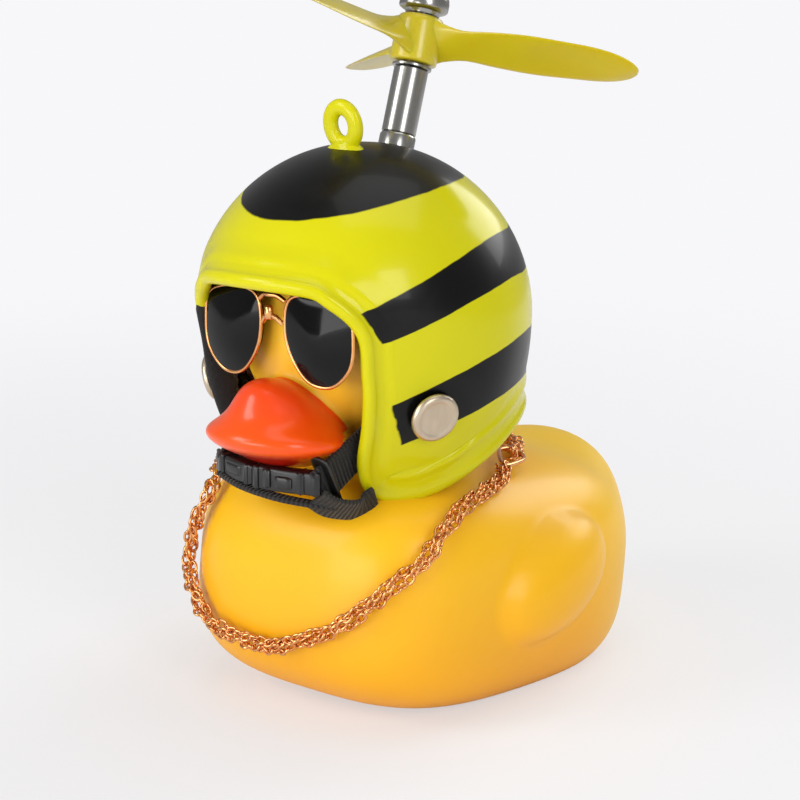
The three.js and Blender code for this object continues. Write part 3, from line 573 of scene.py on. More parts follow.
helmet = {
    "centre": (0, -14, 68.8),
    "half": (29.4, 30),
    "crown": 29.6,
    "skirt": 40,
    "wall": 2,
    "cheekTuck": 2,
    "tuckHeights": (-6, 12),
    "tuckAhead": (-4, 20),
    "peakFlare": 2.2,
    "peakFlareAhead": (20.5, 29.5),
    "lipFlare": 1.2,
    "lipFlareBehind": (-19, -8),
    "flareOver": 7.5,
    "beadRadius": 1.3,
    "beadDepth": -0.7,
    "groove": 0.34,
    "profile": [
        (-42, 10.6), (-27.9, 9.1), (-25, 6.8), (-22, 1.4), (-20.7, -6), (-19.4, -14.3), (-17.6, -22),
        (-14.1, -27), (-9.1, -27), (-4.3, -24.8), (1, -21.4), (10, -17.2), (19.1, -15.3), (42, -14.9),
    ],
    "poleTilt": 42,
    "around": 420,
    "rows": 70,
    "bands": [
        {
            "low": 7.4, "high": 14.6, "rise": 0.19, "bend": 0.0099,
            "frontAt": (-19.6, -0.4), "frontLean": -0.56,
        },
        {
            "low": -12.2, "high": -3.3, "rise": 0.265, "bend": 0.0092,
            "frontAt": (-17.6, -10.5), "frontLean": -0.38,
        },
    ],
    "crownBand": {"low": 23.6, "rise": 0.08, "bend": 0.0055},
    "bandsLevelFrom": 11.5,
    "paintEdge": 0.12,
}
helmetCentre = np.array(helmet["centre"], float)


def eggReach(directions):
    # The distance to an ellipsoid with a longer skirt than crown, drawn in a little at the cheeks
    x, y, z = (directions[..., k] for k in range(3))
    upright = np.where(z > 0, helmet["crown"], helmet["skirt"])
    half = helmet["half"]
    reach = 1 / np.sqrt((x / half[0]) ** 2 + (y / half[1]) ** 2 + (z / upright) ** 2)
    below = 1 - smoothstep(z * reach, *helmet["tuckHeights"])
    return reach - helmet["cheekTuck"] * below * smoothstep(-y * reach, *helmet["tuckAhead"])


def eggNormal(points):
    upright = np.where(points[..., 2] > 0, helmet["crown"], helmet["skirt"])
    half = helmet["half"]
    slope = [points[..., 0] / half[0] ** 2, points[..., 1] / half[1] ** 2, points[..., 2] / upright**2]
    return unit(np.stack(slope, axis=-1))


def rimCurve():
    # The rim as a closed curve: at each point of the side profile, halving finds how far out the egg is.
    # The left half runs from the peak to the nape and is mirrored for the right. The corners are then
    # smoothed.
    profile = curveThrough(helmet["profile"], 900)

    def inEgg(out):
        points = np.column_stack([out, profile])
        size = np.linalg.norm(points, axis=1)
        return size < eggReach(points / size[:, None])

    out = reachWithin(inEgg, np.full(len(profile), 40.0), 30)
    left = np.column_stack([out, profile])[out > 0.02]
    loop = np.vstack([left, left[::-1] * (-1, 1, 1)])
    closed = np.vstack([loop, loop[:1]])
    lengths = lengthsAlong(closed)
    loop = readAt(np.linspace(0, lengths[-1], helmet["around"], endpoint=False), lengths, closed)
    for _ in range(3):
        loop = (np.roll(loop, 1, axis=0) + 2 * loop + np.roll(loop, -1, axis=0)) / 4
    return loop


rim = rimCurve()
rimNormal = eggNormal(rim)
pole = np.array([0, np.sin(np.radians(helmet["poleTilt"])), np.cos(np.radians(helmet["poleTilt"]))])
rimOut = unit(np.cross(slopes(rim, True), rimNormal))
rimOut *= np.sign(np.sum(rimOut * (rim - pole * helmet["half"][1]), axis=1, keepdims=True))


def edgeFlare():
    # How far the edge turns out: most at the peak, some at the nape and ears, none at the cheeks
    atPeak = helmet["peakFlare"] * smoothstep(-rim[:, 1], *helmet["peakFlareAhead"])
    return atPeak + helmet["lipFlare"] * smoothstep(rim[:, 1], *helmet["lipFlareBehind"])


def onEgg(way, past, height):
    # The egg's surface in the given directions, raised by a height and turned out towards the rim
    turnedOut = edgeFlare() * smoothstep(past, -helmet["flareOver"], 0)
    return way * (eggReach(way) + height + turnedOut)[:, None]


def helmetGrid(section, rows, inner, outer):
    # Rows of points from the pole to the rim on the outer face, round the edge and back to the pole on
    # the inner face. Rows of the section are (distance past the rim, height above the egg) pairs square
    # to the rim, each a number or one for every point of the rim. The other rows lie on great circles
    # through the pole.
    edge = section[0][0]
    startWay = unit(rim + rimOut * np.reshape(edge, (-1, 1)))
    angle = np.arccos(np.clip(startWay @ pole, -1, 1))
    radius = helmet["half"][1]
    shares = np.sin(np.linspace(0, np.pi / 2, rows + 1)[1:-1]) ** 0.9

    def face(height, steps):
        # A row's distance past the rim is its angle from the section's first row, on a sphere of that radius
        found = []
        for share in steps:
            fromPole, fromEdge = np.sin(share * angle)[:, None], np.sin((1 - share) * angle)[:, None]
            way = unit(fromEdge * pole + fromPole * startWay)
            found.append(onEgg(way, edge - (1 - share) * angle * radius, height))
        return found

    around = [onEgg(unit(rim + rimOut * np.reshape(past, (-1, 1))), past, rise) for past, rise in section]
    return np.stack(face(outer, shares) + around + face(inner, shares[::-1])) + helmetCentre


def shellSection():
    # A soft groove, then the bead: most of a circle around the edge
    radius, depth, groove = helmet["beadRadius"], helmet["beadDepth"], helmet["groove"]
    outer = [
        (-4.2, 0.0), (-3.7, -0.04), (-3.2, -0.5 * groove),
        (-2.7, -groove), (-2.2, -groove), (-1.8, -0.7 * groove),
    ]
    swept = np.radians(np.linspace(152, -150, 26))
    bead = list(zip(radius * np.cos(swept), depth + radius * np.sin(swept)))
    return outer + bead + [(-2.4, -helmet["wall"]), (-4.2, -helmet["wall"])]


hangLoop = {
    "lean": 9,
    "half": (2.7, 3.2),
    "wire": 1.45,
    "thin": 0.72,
    "centre": 3.7,
    "foot": (4.2, 2.0),
    "sunk": 1.4,
    "rise": 1.2,
    "drawnIn": 0.42,
}


def loopSolids():
    # A flattened oval ring on the crown, and the oval foot that it grows from
    angle = np.radians(hangLoop["lean"])
    up = np.array([0, -np.sin(angle), np.cos(angle)])
    depth = np.cross(up, axisX)
    ground = helmetCentre + up * eggReach(up)
    turn = np.linspace(0, 2 * np.pi, 72, endpoint=False)
    half = hangLoop["half"]
    path = (ground + up * hangLoop["centre"] + half[0] * np.cos(turn)[:, None] * axisX
            + half[1] * np.sin(turn)[:, None] * up)
    ring = carried(path, circle(hangLoop["wire"], 24) * (1, hangLoop["thin"]), depth, closed=True)
    level = np.linspace(-hangLoop["sunk"], hangLoop["rise"], 12)
    shrink = 1 - hangLoop["drawnIn"] * smoothstep(level, -1.0, hangLoop["rise"])
    across = circle(hangLoop["foot"][0], 48) * (1, hangLoop["foot"][1] / hangLoop["foot"][0])
    foot = carried(ground + level[:, None] * up, across[:, ::-1], axisX, scale=shrink)
    return [wrapped(ring, True), wrapped(foot)]


shellPaint = Paint("shellPaint", colour(214, 208, 10), 0.2, Coat_Weight=0.12, Coat_Roughness=0.08,
                   Specular_IOR_Level=0.2, Subsurface_Weight=0.04, Subsurface_Scale=0.002)


def paintShell():
    # A band lies between two heights that rise towards the back, less and less steeply. The front ends
    # slant, and every edge wanders a little as sprayed paint does.
    spot = shellPaint.place()
    wander = (shellPaint.noise(260.0, 3.0) - 0.5) * 0.0003 + (shellPaint.noise(55.0, 2.0) - 0.5) * 0.0007
    side = shellPaint.part(spot, 1) - helmet["centre"][1] * millimetre
    up = shellPaint.part(spot, 2) - helmet["centre"][2] * millimetre
    notch = (shellPaint.noise(420.0, 2.0) - 0.5) * 0.0009
    bounded = side.sum("MINIMUM", side, helmet["bandsLevelFrom"] * millimetre)

    def level(band):
        # The height less the band's own rise and bend, in millimetres per millimetre and per square
        # millimetre
        return up - bounded * band["rise"] + bounded * bounded * (band["bend"] / millimetre) + wander

    soft = helmet["paintEdge"] * millimetre
    crown = helmet["crownBand"]
    black = level(crown).rises(crown["low"] * millimetre - soft, crown["low"] * millimetre + soft)
    for band in helmet["bands"]:
        low, high = band["low"] * millimetre, band["high"] * millimetre
        height = level(band)
        inside = height.rises(low - soft, low + soft) * (1 - height.rises(high - soft, high + soft))
        startSide, startUp = (value * millimetre for value in band["frontAt"])
        front = side - (up - startUp) * band["frontLean"] + notch
        black = black + inside * front.rises(startSide - soft, startSide + 2 * soft)
    black = black * (1 - shellPaint.mark("bare").rises(0.4, 0.6))
    cloud = shellPaint.noise(30.0, 2.0)
    yellow = shellPaint.mix(cloud.rises(0.3, 0.8) * 0.25, colour(214, 208, 12), colour(198, 192, 6))
    # Painted shade: the yellow darkens towards the bottom of the shell
    low = 1 - up.rises(-0.024, 0.006)
    yellow = shellPaint.mix(low * 0.45, yellow, colour(190, 182, 4))
    dust = shellPaint.noise(120.0, 4.0).rises(0.45, 0.75)
    ink = shellPaint.mix(dust * 0.5, colour(4, 4, 4), colour(20, 20, 19))
    shellPaint.feed("Base Color", shellPaint.mix(black, yellow, ink))
    shellPaint.feed("Roughness", 0.2 + black * 0.12 + dust * 0.06)
    shellPaint.bump(cloud + black * 0.04, 0.1, 0.0008)


def makeHelmet():
    shell = wrapped(helmetGrid(shellSection(), helmet["rows"], -helmet["wall"], 0.0))
    loop = loopSolids()
    bare = np.concatenate([np.zeros(len(shell[0]))] + [np.ones(len(solid[0])) for solid in loop])
    paintShell()
    replaced = ("helmet_shell", "crown_print", "upper_stripe_print", "lower_stripe_print")
    piece("helmetShell", [shell] + loop, shellPaint, replaced,
          marks={"bare": bare}, sharp=60)
    print("helmet shell made")


makeHelmet()


# Lining: a padded cloth layer that rolls at the opening, with upright folds at the cheeks

lining = {
    "outer": 2.5,
    "inner": 3.9,
    "rows": 40,
    "rollAt": -1.9,
    "rollHalf": 1.3,
    "folds": 66,
    "foldDepth": 0.34,
    "foldRows": 34,
    "seed": 11,
    "slipOut": 3.3,
    "slipPast": 2.4,
    "slipHeights": (-24, -18, 2, 7),
}
liningCloth = Paint("liningCloth", colour(20, 20, 20), 0.82, Sheen_Weight=0.25, Sheen_Roughness=0.4)


def liningSection():
    # The roll is half an oval behind the bead. At the right cheek it has slipped out over the bead: there
    # its rows move past the rim, and those of the outer face also rise.
    outer, inner = -lining["outer"], -lining["inner"]
    swept = np.radians(np.linspace(90, -90, 14))
    middle, half = (outer + inner) / 2, (outer - inner) / 2
    roll = [(lining["rollAt"] + lining["rollHalf"] * np.cos(a), middle + half * np.sin(a)) for a in swept]
    section = [(-7.0, outer), (-4.0, outer)] + roll + [(-4.0, inner), (-7.0, inner)]
    low, fullFrom, fullTo, high = lining["slipHeights"]
    cheek = smoothstep(rim[:, 2], low, fullFrom) * (1 - smoothstep(rim[:, 2], fullTo, high))
    slip = np.where(rim[:, 0] < 0, cheek, 0)
    slipped = []
    for past, rise in section:
        loose = slip * smoothstep(past, -5, -1.5)
        raised = rise + lining["slipOut"] * loose * smoothstep(rise, inner, outer)
        slipped.append((past + lining["slipPast"] * loose, raised))
    return slipped


def makeLining():
    # Folds are a sum of sines along the rim that fades away from it, on the inner face only
    section = liningSection()
    grid = helmetGrid(section, lining["rows"], -lining["inner"], -lining["outer"]) - helmetCentre
    random = np.random.default_rng(lining["seed"])
    along = np.linspace(0, 2 * np.pi, helmet["around"], endpoint=False)
    count = lining["folds"]
    fold = np.sin(count * along + 0.9 * np.sin(7 * along)) * (0.6 + 0.4 * np.sin(11 * along + 1))
    fold += 0.35 * np.sin(2 * count * along + random.uniform(0, 6))
    fromRoll = np.arange(len(grid)) - lining["rows"] - len(section) // 2
    fade = np.clip(1 - np.abs(fromRoll) / lining["foldRows"], 0, 1) ** 0.7
    depth = lining["foldDepth"] * fade * smoothstep(fromRoll, -4, 4)
    way = unit(grid)
    grid = grid + way * (depth[:, None] * np.minimum(fold, 0.9))[..., None] + helmetCentre
    liningCloth.bump(liningCloth.noise(1400.0, 2.0), 0.35, 0.0004)
    piece("liningPad", [wrapped(grid)], liningCloth, ("helmet_lining",), sharp=70)
    print("lining made")


makeLining()


# Snaps: a dished steel cap outside each ear, and its stud through shell, lining and webbing

snap = {
    "direction": (22.4, -10.8, -12),
    "capProfile": [
        (4.25, 0.8), (4.3, 1.0), (4.28, 1.3), (4.12, 1.6), (3.86, 1.8), (3.56, 1.88), (3.26, 1.84),
        (3.02, 1.72), (2.8, 1.64), (1.8, 1.68), (0.8, 1.7),
    ],
    "studProfile": [(2.5, -6.65), (2.5, -6.05), (1.5, -6.05), (1.5, 0.45)],
}
steel = Paint("warmSteel", colour(206, 190, 168), 0.34, 1.0)
stud = Paint("studSteel", colour(186, 178, 166), 0.4, 1.0)


def snapSpot(side):
    way = unit(np.array(snap["direction"], float) * (side, 1, 1))
    return helmetCentre + way * eggReach(way), eggNormal(way)


def makeSnaps():
    grain = steel.noise(500.0, 2.0, steel.place(stretch=(1, 1, 0.06)))
    shade = steel.mix(grain.rises(0.3, 0.7) * 0.35, colour(214, 198, 176), colour(176, 158, 134))
    steel.feed("Base Color", shade)
    steel.feed("Roughness", 0.28 + grain * 0.2)
    worn = stud.noise(300.0, 2.0)
    stud.feed("Roughness", 0.32 + worn * 0.2)
    for name, side in bothSides.items():
        place, normal = snapSpot(side)
        cap = turned(snap["capProfile"], 64, place, normal)
        piece(f"snapCap_{name}", [cap], steel, (f"snap_cap_{name}",), sharp=40)
        shank = turned(snap["studProfile"], 28, place, normal)
        piece(f"snapStud_{name}", [shank], stud, (f"snap_stud_{name}",), sharp=40)
    print("snaps made")


makeSnaps()


# Spindle: collar, tube, washer, hub and cap nut on one leaning axis. Heights are from the helmet's
# centre.

spindle = {
    "lean": 18.5,
    "collar": [(1.8, 28.6), (3.2, 28.6), (3.2, 31.35), (3.08, 31.6), (2.96, 31.75), (1.8, 31.75)],
    "tube": [(1.8, 31.85), (2.9, 31.85), (3.05, 32.0), (3.05, 43.35), (2.9, 43.5), (1.8, 43.5)],
    "washer": [(1.8, 43.65), (3.4, 43.65), (3.5, 43.75), (3.5, 44.1), (3.4, 44.2), (1.8, 44.2)],
    "screw": [(3.0, 25.6), (3.0, 27.0), (1.5, 27.0), (1.5, 55.2)],
    "hub": [
        (1.8, 44.6), (3.9, 44.6), (4.12, 44.72), (4.2, 45.0), (4.2, 51.7), (4.1, 52.3), (3.8, 52.75),
        (3.3, 52.95), (1.8, 52.99),
    ],
    "nut": [
        (1.8, 53.3), (3.0, 53.3), (3.1, 53.6), (3.3, 53.9), (3.9, 54.1), (4.3, 54.35), (4.4, 54.7),
        (4.4, 55.8), (4.25, 56.6), (3.9, 57.5), (3.3, 58.4), (2.5, 59.1), (1.6, 59.5), (0.6, 59.67),
    ],
}
spindleWay = np.array([0, np.sin(np.radians(spindle["lean"])), np.cos(np.radians(spindle["lean"]))])
chrome = Paint("polishedSteel", colour(228, 228, 228), 0.1, 1.0)
coarse = Paint("screwSteel", colour(170, 168, 164), 0.35, 1.0)


def makeSpindle():
    smear = chrome.noise(90.0, 3.0)
    grey = chrome.mix(smear.rises(0.4, 0.7) * 0.4, colour(172, 171, 167), colour(128, 126, 122))
    chrome.feed("Base Color", grey)
    chrome.feed("Roughness", 0.16 + smear * 0.16)
    coarse.feed("Roughness", 0.3 + coarse.noise(200.0) * 0.15)
    nodes = {
        "collar": "spindle_collar",
        "tube": "spindle_tube",
        "washer": "propeller_washer",
        "nut": "cap_nut",
    }
    for key, node in nodes.items():
        solid = turned(spindle[key], 72, helmetCentre, spindleWay, closed=key != "nut")
        piece(f"spindle_{key}", [solid], chrome, (node,), sharp=32)
    screw = turned(spindle["screw"], 32, helmetCentre, spindleWay)
    piece("spindle_screwRod", [screw], coarse, ("spindle_screw",))
    print("spindle made")


makeSpindle()


# Propeller: a hub and three twisted blades that swell into it

propeller = {
    "middle": 48.9,
    "root": 2.6,
    "length": 39.8,
    "width": 11.3,
    "blades": 3,
    "turn": 51,
    "widths": [(0, 0.80), (0.06, 0.66), (0.16, 0.60), (0.3, 0.80), (0.48, 0.97), (0.65, 1.0), (1, 0.98)],
    "pitches": [(0, 56), (0.08, 47), (0.2, 33), (0.35, 27), (0.7, 20), (1, 16)],
    "thickness": [(0, 3.4), (0.07, 2.2), (0.18, 1.6), (0.5, 1.25), (1, 0.8)],
    "roundFrom": 0.74,
    "camber": 0.5,
}
bladePlastic = Paint("bladePlastic", colour(200, 180, 22), 0.28, Coat_Weight=0.3, Coat_Roughness=0.1,
                     Subsurface_Weight=0.15, Subsurface_Scale=0.002)


def smoothTable(table, share):
    # Eases from each value of the table to the next
    table = np.asarray(table, float)
    fine = curveThrough(table, 200)
    return np.interp(share, fine[:, 0], fine[:, 1])


def bladeSolid(number):
    # Sections square to the blade's length: an oval as wide and thick as the tables say, bowed by the
    # camber and turned by the pitch
    share = np.sin(np.linspace(0, np.pi / 2, 60)) ** 0.8
    share[-1] = 0.9995
    span = np.clip((share - propeller["roundFrom"]) / (1 - propeller["roundFrom"]), 0, 1)
    rounded = np.sqrt(1 - span**2.3)
    half = propeller["width"] / 2 * smoothTable(propeller["widths"], share) * rounded
    thick = smoothTable(propeller["thickness"], share) / 2 * (0.35 + 0.65 * rounded)
    pitch = np.radians(smoothTable(propeller["pitches"], share))
    along = propeller["root"] + (propeller["length"] - propeller["root"]) * share
    angle = np.linspace(0, 2 * np.pi, 36, endpoint=False)
    across = half[:, None] * np.cos(angle)
    deep = thick[:, None] * np.sign(np.sin(angle)) * np.abs(np.sin(angle)) ** 1.1
    deep = deep + propeller["camber"] * (1 - np.cos(angle) ** 2) * np.sin(share * np.pi)[:, None]
    x = across * np.cos(pitch)[:, None] - deep * np.sin(pitch)[:, None]
    z = across * np.sin(pitch)[:, None] + deep * np.cos(pitch)[:, None]
    turn = np.radians(propeller["turn"] + 360 / propeller["blades"] * number)
    ahead = np.cross(spindleWay, axisX)
    outwards = np.cos(turn) * ahead - np.sin(turn) * axisX
    sideways = np.cos(turn) * axisX + np.sin(turn) * ahead
    middle = helmetCentre + spindleWay * propeller["middle"]
    grid = middle + along[:, None, None] * outwards + x[..., None] * sideways + z[..., None] * spindleWay
    return wrapped(grid)


def makePropeller():
    cloud = bladePlastic.noise(60.0, 3.0)
    yellow = bladePlastic.mix(cloud.rises(0.3, 0.75) * 0.3, colour(206, 188, 26), colour(182, 160, 20))
    bladePlastic.feed("Base Color", yellow)
    bladePlastic.feed("Roughness", 0.22 + cloud * 0.14)
    hub = turned(spindle["hub"], 80, helmetCentre, spindleWay, True)
    blades = [bladeSolid(number) for number in range(propeller["blades"])]
    piece("propellerBlades", [hub] + blades, bladePlastic, ("propeller",), body="propeller",
          sharp=50)
    print("propeller made")


makePropeller()


# Sunglasses: teardrop lenses in thin wire, two bridge bars with a bead between them, and side arms

glasses = {
    "halfWidth": 7.1,
    "halfHeight": 7.5,
    "thickness": 1.0,
    "bulge": 1.1,
    "apart": 18.2,
    "forward": 23.6,
    "rise": -0.4,
    "yaw": 5,
    "shift": 0.3,
    "wire": 0.32,
    "arm": 0.45,
    "outline": [
        (-0.8, 0.84), (0, 1), (0.84, 0.78), (1, 0.1),
        (0.88, -0.54), (0.34, -0.98), (-0.34, -0.86), (-0.86, -0.1),
    ],
    "arms": [((14.2, -20, 4.8), 6), ((17.4, -16, 4.6), 5.8), ((21.4, -9.5, 4), 5.8), ((23.4, -2, 3), 5.8)],
    "armStart": (0.9, 0.62),
    "bridges": [{"from": (0.9, 0.82), "rise": 1.0}, {"from": (0.98, 0.3), "rise": 1.5}],
    "bridgeWire": 0.46,
    "bridgeAhead": 0.9,
    "bridgeArch": 0.35,
    "bead": [(0.5, -1.2), (0.72, -0.9), (0.8, 0), (0.72, 0.9), (0.5, 1.2)],
    "beadRise": 0.4,
    "frontRings": 16,
    "backRings": 8,
    "firstRing": 0.06,
}
copper = Paint("copperGold", colour(214, 140, 84), 0.2, 1.0)
lensBlack = Paint("lensBlack", colour(16, 16, 15), 0.06, Specular_IOR_Level=0.22)


def onLens(spots, ahead, side):
    # Carries (across, up) pairs of the left lens plane into place. The right one is its mirror.
    turn = np.radians(glasses["yaw"])
    spots = np.asarray(spots, float)
    x = spots[..., 0] * np.cos(turn) + ahead * np.sin(turn)
    y = spots[..., 0] * np.sin(turn) - ahead * np.cos(turn)
    across = side * (glasses["apart"] / 2 + x) + glasses["shift"]
    place = np.stack([across, y - glasses["forward"], spots[..., 1] + glasses["rise"]], axis=-1)
    return place + helmetCentre


def lensOutline(grow, count):
    size = (glasses["halfWidth"] + grow, glasses["halfHeight"] + grow)
    return curveThrough(np.array(glasses["outline"]) * size, count, closed=True)


def lensSolid(side):
    # Rings of the outline from the middle of the front, over the edge, to the middle of the back
    ring = lensOutline(-glasses["wire"] * 0.6, 90)
    first, front, back = glasses["firstRing"], glasses["frontRings"], glasses["backRings"]
    shares = np.concatenate([np.linspace(first, 1, front), np.linspace(1, first, back)])
    face = np.concatenate([np.ones(front), -np.ones(back)])
    bulge = glasses["bulge"] * (1 - shares**2)
    ahead = face * glasses["thickness"] / 2 + bulge - glasses["bulge"] * 0.3
    grid = [onLens(ring * share, depth, side) for share, depth in zip(shares, ahead)]
    return wrapped(np.stack(grid))


def wireAlong(points, radius, count, guide, sides=12, closed=False):
    path = curveThrough(points, count, closed)
    return wrapped(carried(path, circle(radius, sides), guide, closed), closed)


def inShell(side, spot, depth):
    # A point inside the shell, at a depth from the egg
    way = unit(np.array(spot, float) * (side, 1, 1))
    return helmetCentre + way * (eggReach(way) - depth)


def rimPair(across, up):
    # The points of the right and left lens rim at these shares of its half width and half height
    spot = (across * glasses["halfWidth"], up * glasses["halfHeight"])
    return [onLens(spot, 0, side) for side in (-1, 1)]


def bridgeBar(bar):
    # An arched bar from rim to rim
    across, up = bar["from"]
    right, left = rimPair(-across, up)
    top = (right + left) / 2 - axisY * glasses["bridgeAhead"] + axisZ * bar["rise"]
    arch = axisZ * glasses["bridgeArch"]
    knots = [right, (right + top) / 2 + arch, top, (left + top) / 2 + arch, left]
    return wireAlong(knots, glasses["bridgeWire"], 30, axisY)


def makeGlasses():
    armStarts = rimPair(*glasses["armStart"])
    wires = []
    for name, side in bothSides.items():
        edge = onLens(lensOutline(0, 40), 0, side)
        wires.append(wireAlong(edge, glasses["wire"], 120, axisY, closed=True))
        arm = [armStarts[side > 0]] + [inShell(side, *knot) for knot in glasses["arms"]]
        wires.append(wireAlong(arm, glasses["arm"], 40, axisZ))
        piece(f"lensPane_{name}", [lensSolid(side)], lensBlack, (f"lens_{name}",), sharp=40)
    wires += [bridgeBar(bar) for bar in glasses["bridges"]]
    right, left = rimPair(-1, 0.5)
    beadAt = (right + left) / 2 - axisY * glasses["bridgeAhead"] + axisZ * glasses["beadRise"]
    wires.append(turned(glasses["bead"], 20, beadAt, axisZ))
    shade = copper.noise(300.0, 2.0)
    gold = copper.mix(shade.rises(0.35, 0.7) * 0.4, colour(240, 176, 116), colour(204, 126, 66))
    copper.feed("Base Color", gold)
    copper.feed("Roughness", 0.16 + shade * 0.14)
    smudge = lensBlack.noise(70.0, 3.0)
    spot = lensBlack.place()
    # Painted reflection: the black lightens towards the bottom of the lens
    low = 1 - lensBlack.part(spot, 2).rises(0.059, 0.067)
    lensBlack.feed("Base Color", lensBlack.mix(low * 0.8, colour(6, 6, 6), colour(24, 24, 25)))
    lensBlack.feed("Roughness", 0.05 + smudge * 0.07)
    piece("glassesWire", wires, copper, ("glasses_frame",), sharp=60)
    print("sunglasses made")


makeGlasses()


# Chin strap: ribbed webbing from each ear down inside the cheek to the buckle under the bill. The left
# one also has the loose end folded under it and a thin edge of webbing that crosses the throat.

strap = {
    "width": 7.4,
    "thickness": 0.9,
    "depth": 5.1,
    "upper": [
        ((23.2, -8, -8.4), 0.4),
        ((22.4, -10.8, -12), 0),
        ((19, -13.2, -19.4), 0.7),
        ((15.6, -17, -24), 1.2),
    ],
    "upperEnd": (10.2, -38.9, 43.6),
    "folded": [(14.3, -28.2, 39.4), (13.4, -31.8, 39.2), (11.6, -36.4, 40.3), (10, -39, 42.2)],
    "foldedWidth": 5.4,
    "crossing": [
        (11.6, -35.6, 40.2), (8.5, -38.4, 40.9), (3, -40.6, 41.6), (-4, -41, 42.4), (-10.4, -39.6, 43.4),
    ],
    "crossingWidth": 2.6,
    "offVinyl": 1.1,
    "rib": 0.78,
}
webbing = Paint("webbing", colour(34, 33, 31), 0.72, Sheen_Weight=0.15, Sheen_Roughness=0.4)


def webbingBand(points, width, facing=None):
    # A flat band with rounded edges, lying square to the egg or facing the given way. The second result
    # is how far along the band each of its points is.
    path = curveThrough(points, 110)
    guide = eggNormal(path - helmetCentre) if facing is None else facing
    grid = carried(path, roundedBar(width, strap["thickness"], 0.42, 5), guide)
    along = lengthsAlong(path)
    marks = np.concatenate([np.repeat(along, grid.shape[1]), [along[0], along[-1]]])
    return wrapped(grid), marks


def upperKnots(side):
    # From above the ear down inside the cheek to the buckle
    knots = [inShell(side, spot, strap["depth"] + more) for spot, more in strap["upper"]]
    return knots + [np.array(strap["upperEnd"], float) * (side, 1, 1)]


def looseBands():
    folded = np.array(strap["folded"], float)
    tooClose = (vinylField(folded) < strap["offVinyl"])[:, None]
    folded = np.where(tooClose, onVinyl(folded, strap["offVinyl"])[0], folded)
    return [webbingBand(folded, strap["foldedWidth"]),
            webbingBand(np.array(strap["crossing"], float), strap["crossingWidth"], -axisZ)]


def makeStraps():
    for name, side in bothSides.items():
        bands = [webbingBand(upperKnots(side), strap["width"])]
        if name == "left":
            bands += looseBands()
        marks = {"along": np.concatenate([along for _, along in bands])}
        solids = [solid for solid, _ in bands]
        piece(f"strapBand_{name}", solids, webbing, (f"strap_{name}",),
              marks=marks, sharp=50)
    turns = webbing.mark("along") * (2 * np.pi / strap["rib"])
    rib = turns.sum("SINE", turns) * 0.5 + 0.5
    weave = webbing.noise(1500.0, 2.0)
    webbing.feed("Base Color", webbing.mix(rib * 0.6, colour(20, 19, 18), colour(46, 44, 40)))
    webbing.bump(rib + weave * 0.4, 0.7, 0.0004)
    print("straps made")


makeStraps()


# Buckle: a slim plug and socket end to end under the bill, and a flat slider on the left webbing

# A bar is (from X, to X, height, depth, how far up it sits). The first of each half is its block, and the
# thin last one of the plug is its prong.
buckle = {
    "centre": (0, -41.0, 44.9),
    "bow": 0.022,
    "edge": 0.5,
    "taper": 0.12,
    "taperOver": 0.8,
    "buckle_plug": [
        (-12.0, -1.4, 3.68, 2.6, 0), (-10.6, -8.6, 4.32, 3.3, 0), (-3.4, -2.2, 3.92, 3.1, 0),
        (-8.2, -3.8, 2.0, 3.0, 0.2), (-13.8, -11.6, 0.9, 0.9, 1.2),
    ],
    "buckle_socket": [
        (-1.2, 10.6, 4.0, 2.6, 0), (-0.9, 0.2, 4.4, 3.4, 0), (1.2, 2.6, 3.6, 3.6, 0.2),
        (3.4, 6.4, 2.2, 3.5, -0.2), (7.2, 8.4, 4.2, 3.5, 0), (9.2, 10.8, 4.32, 3.2, 0),
    ],
}
slider = {
    "steps": 60,
    "step": 54,
    "room": 1.3,
    "corner": 0.6,
    "band": (2.0, 0.6),
    "bandCorner": 0.25,
}
buckleBlack = Paint("buckleBlack", colour(20, 20, 20), 0.3, Coat_Weight=0.2, Coat_Roughness=0.15)


def barSolid(fromX, toX, height, depth, up):
    # A bar across the throat that bows back towards its ends, its ends a little smaller
    _, middle, level = buckle["centre"]
    share = np.concatenate([[0], np.linspace(0.02, 0.98, 24), [1]])
    x = fromX + (toX - fromX) * share
    path = np.column_stack([x, middle + buckle["bow"] * x**2, np.full_like(x, level + up)])
    fromEnd = np.minimum(share, 1 - share) * (toX - fromX)
    scale = 1 - buckle["taper"] * (1 - smoothstep(fromEnd, 0, buckle["taperOver"]))
    corner = min(buckle["edge"], height * 0.45, depth * 0.45)
    return wrapped(carried(path, roundedBar(height, depth, corner, 5), -axisY, scale=scale))


def sliderSolid():
    # A flat ring square to the left webbing, at one step of the many along it
    path = curveThrough(upperKnots(bothSides["left"]), slider["steps"])
    frames = framesAlong(path, eggNormal(path - helmetCentre))
    along, across, out = (directions[slider["step"]] for directions in frames)
    inside = (strap["width"] + slider["room"], strap["thickness"] + slider["room"])
    ring = roundedBar(*inside, slider["corner"], 6)
    loop = path[slider["step"]] + ring[:, :1] * across + ring[:, 1:] * out
    band = roundedBar(*slider["band"], slider["bandCorner"], 4)
    return wrapped(carried(loop, band, along, closed=True), True)


def makeBuckle():
    for node in ("buckle_plug", "buckle_socket"):
        solids = [barSolid(*bar) for bar in buckle[node]]
        piece(f"{node}_half", solids, buckleBlack, (node,), sharp=40)
    piece("strapSlider", [sliderSolid()], buckleBlack, ("strap_slider",), sharp=40)
    worn = buckleBlack.noise(260.0, 3.0)
    dusty = buckleBlack.mix(worn.rises(0.5, 0.75) * 0.5, colour(17, 17, 17), colour(40, 40, 40))
    buckleBlack.feed("Base Color", dusty)
    buckleBlack.feed("Roughness", 0.24 + worn * 0.22)
    print("buckle made")


makeBuckle()


# Neck chain: three strands of small links twisted round each other, on a loop that lies on the vinyl, and
# the ring that closes it behind the helmet

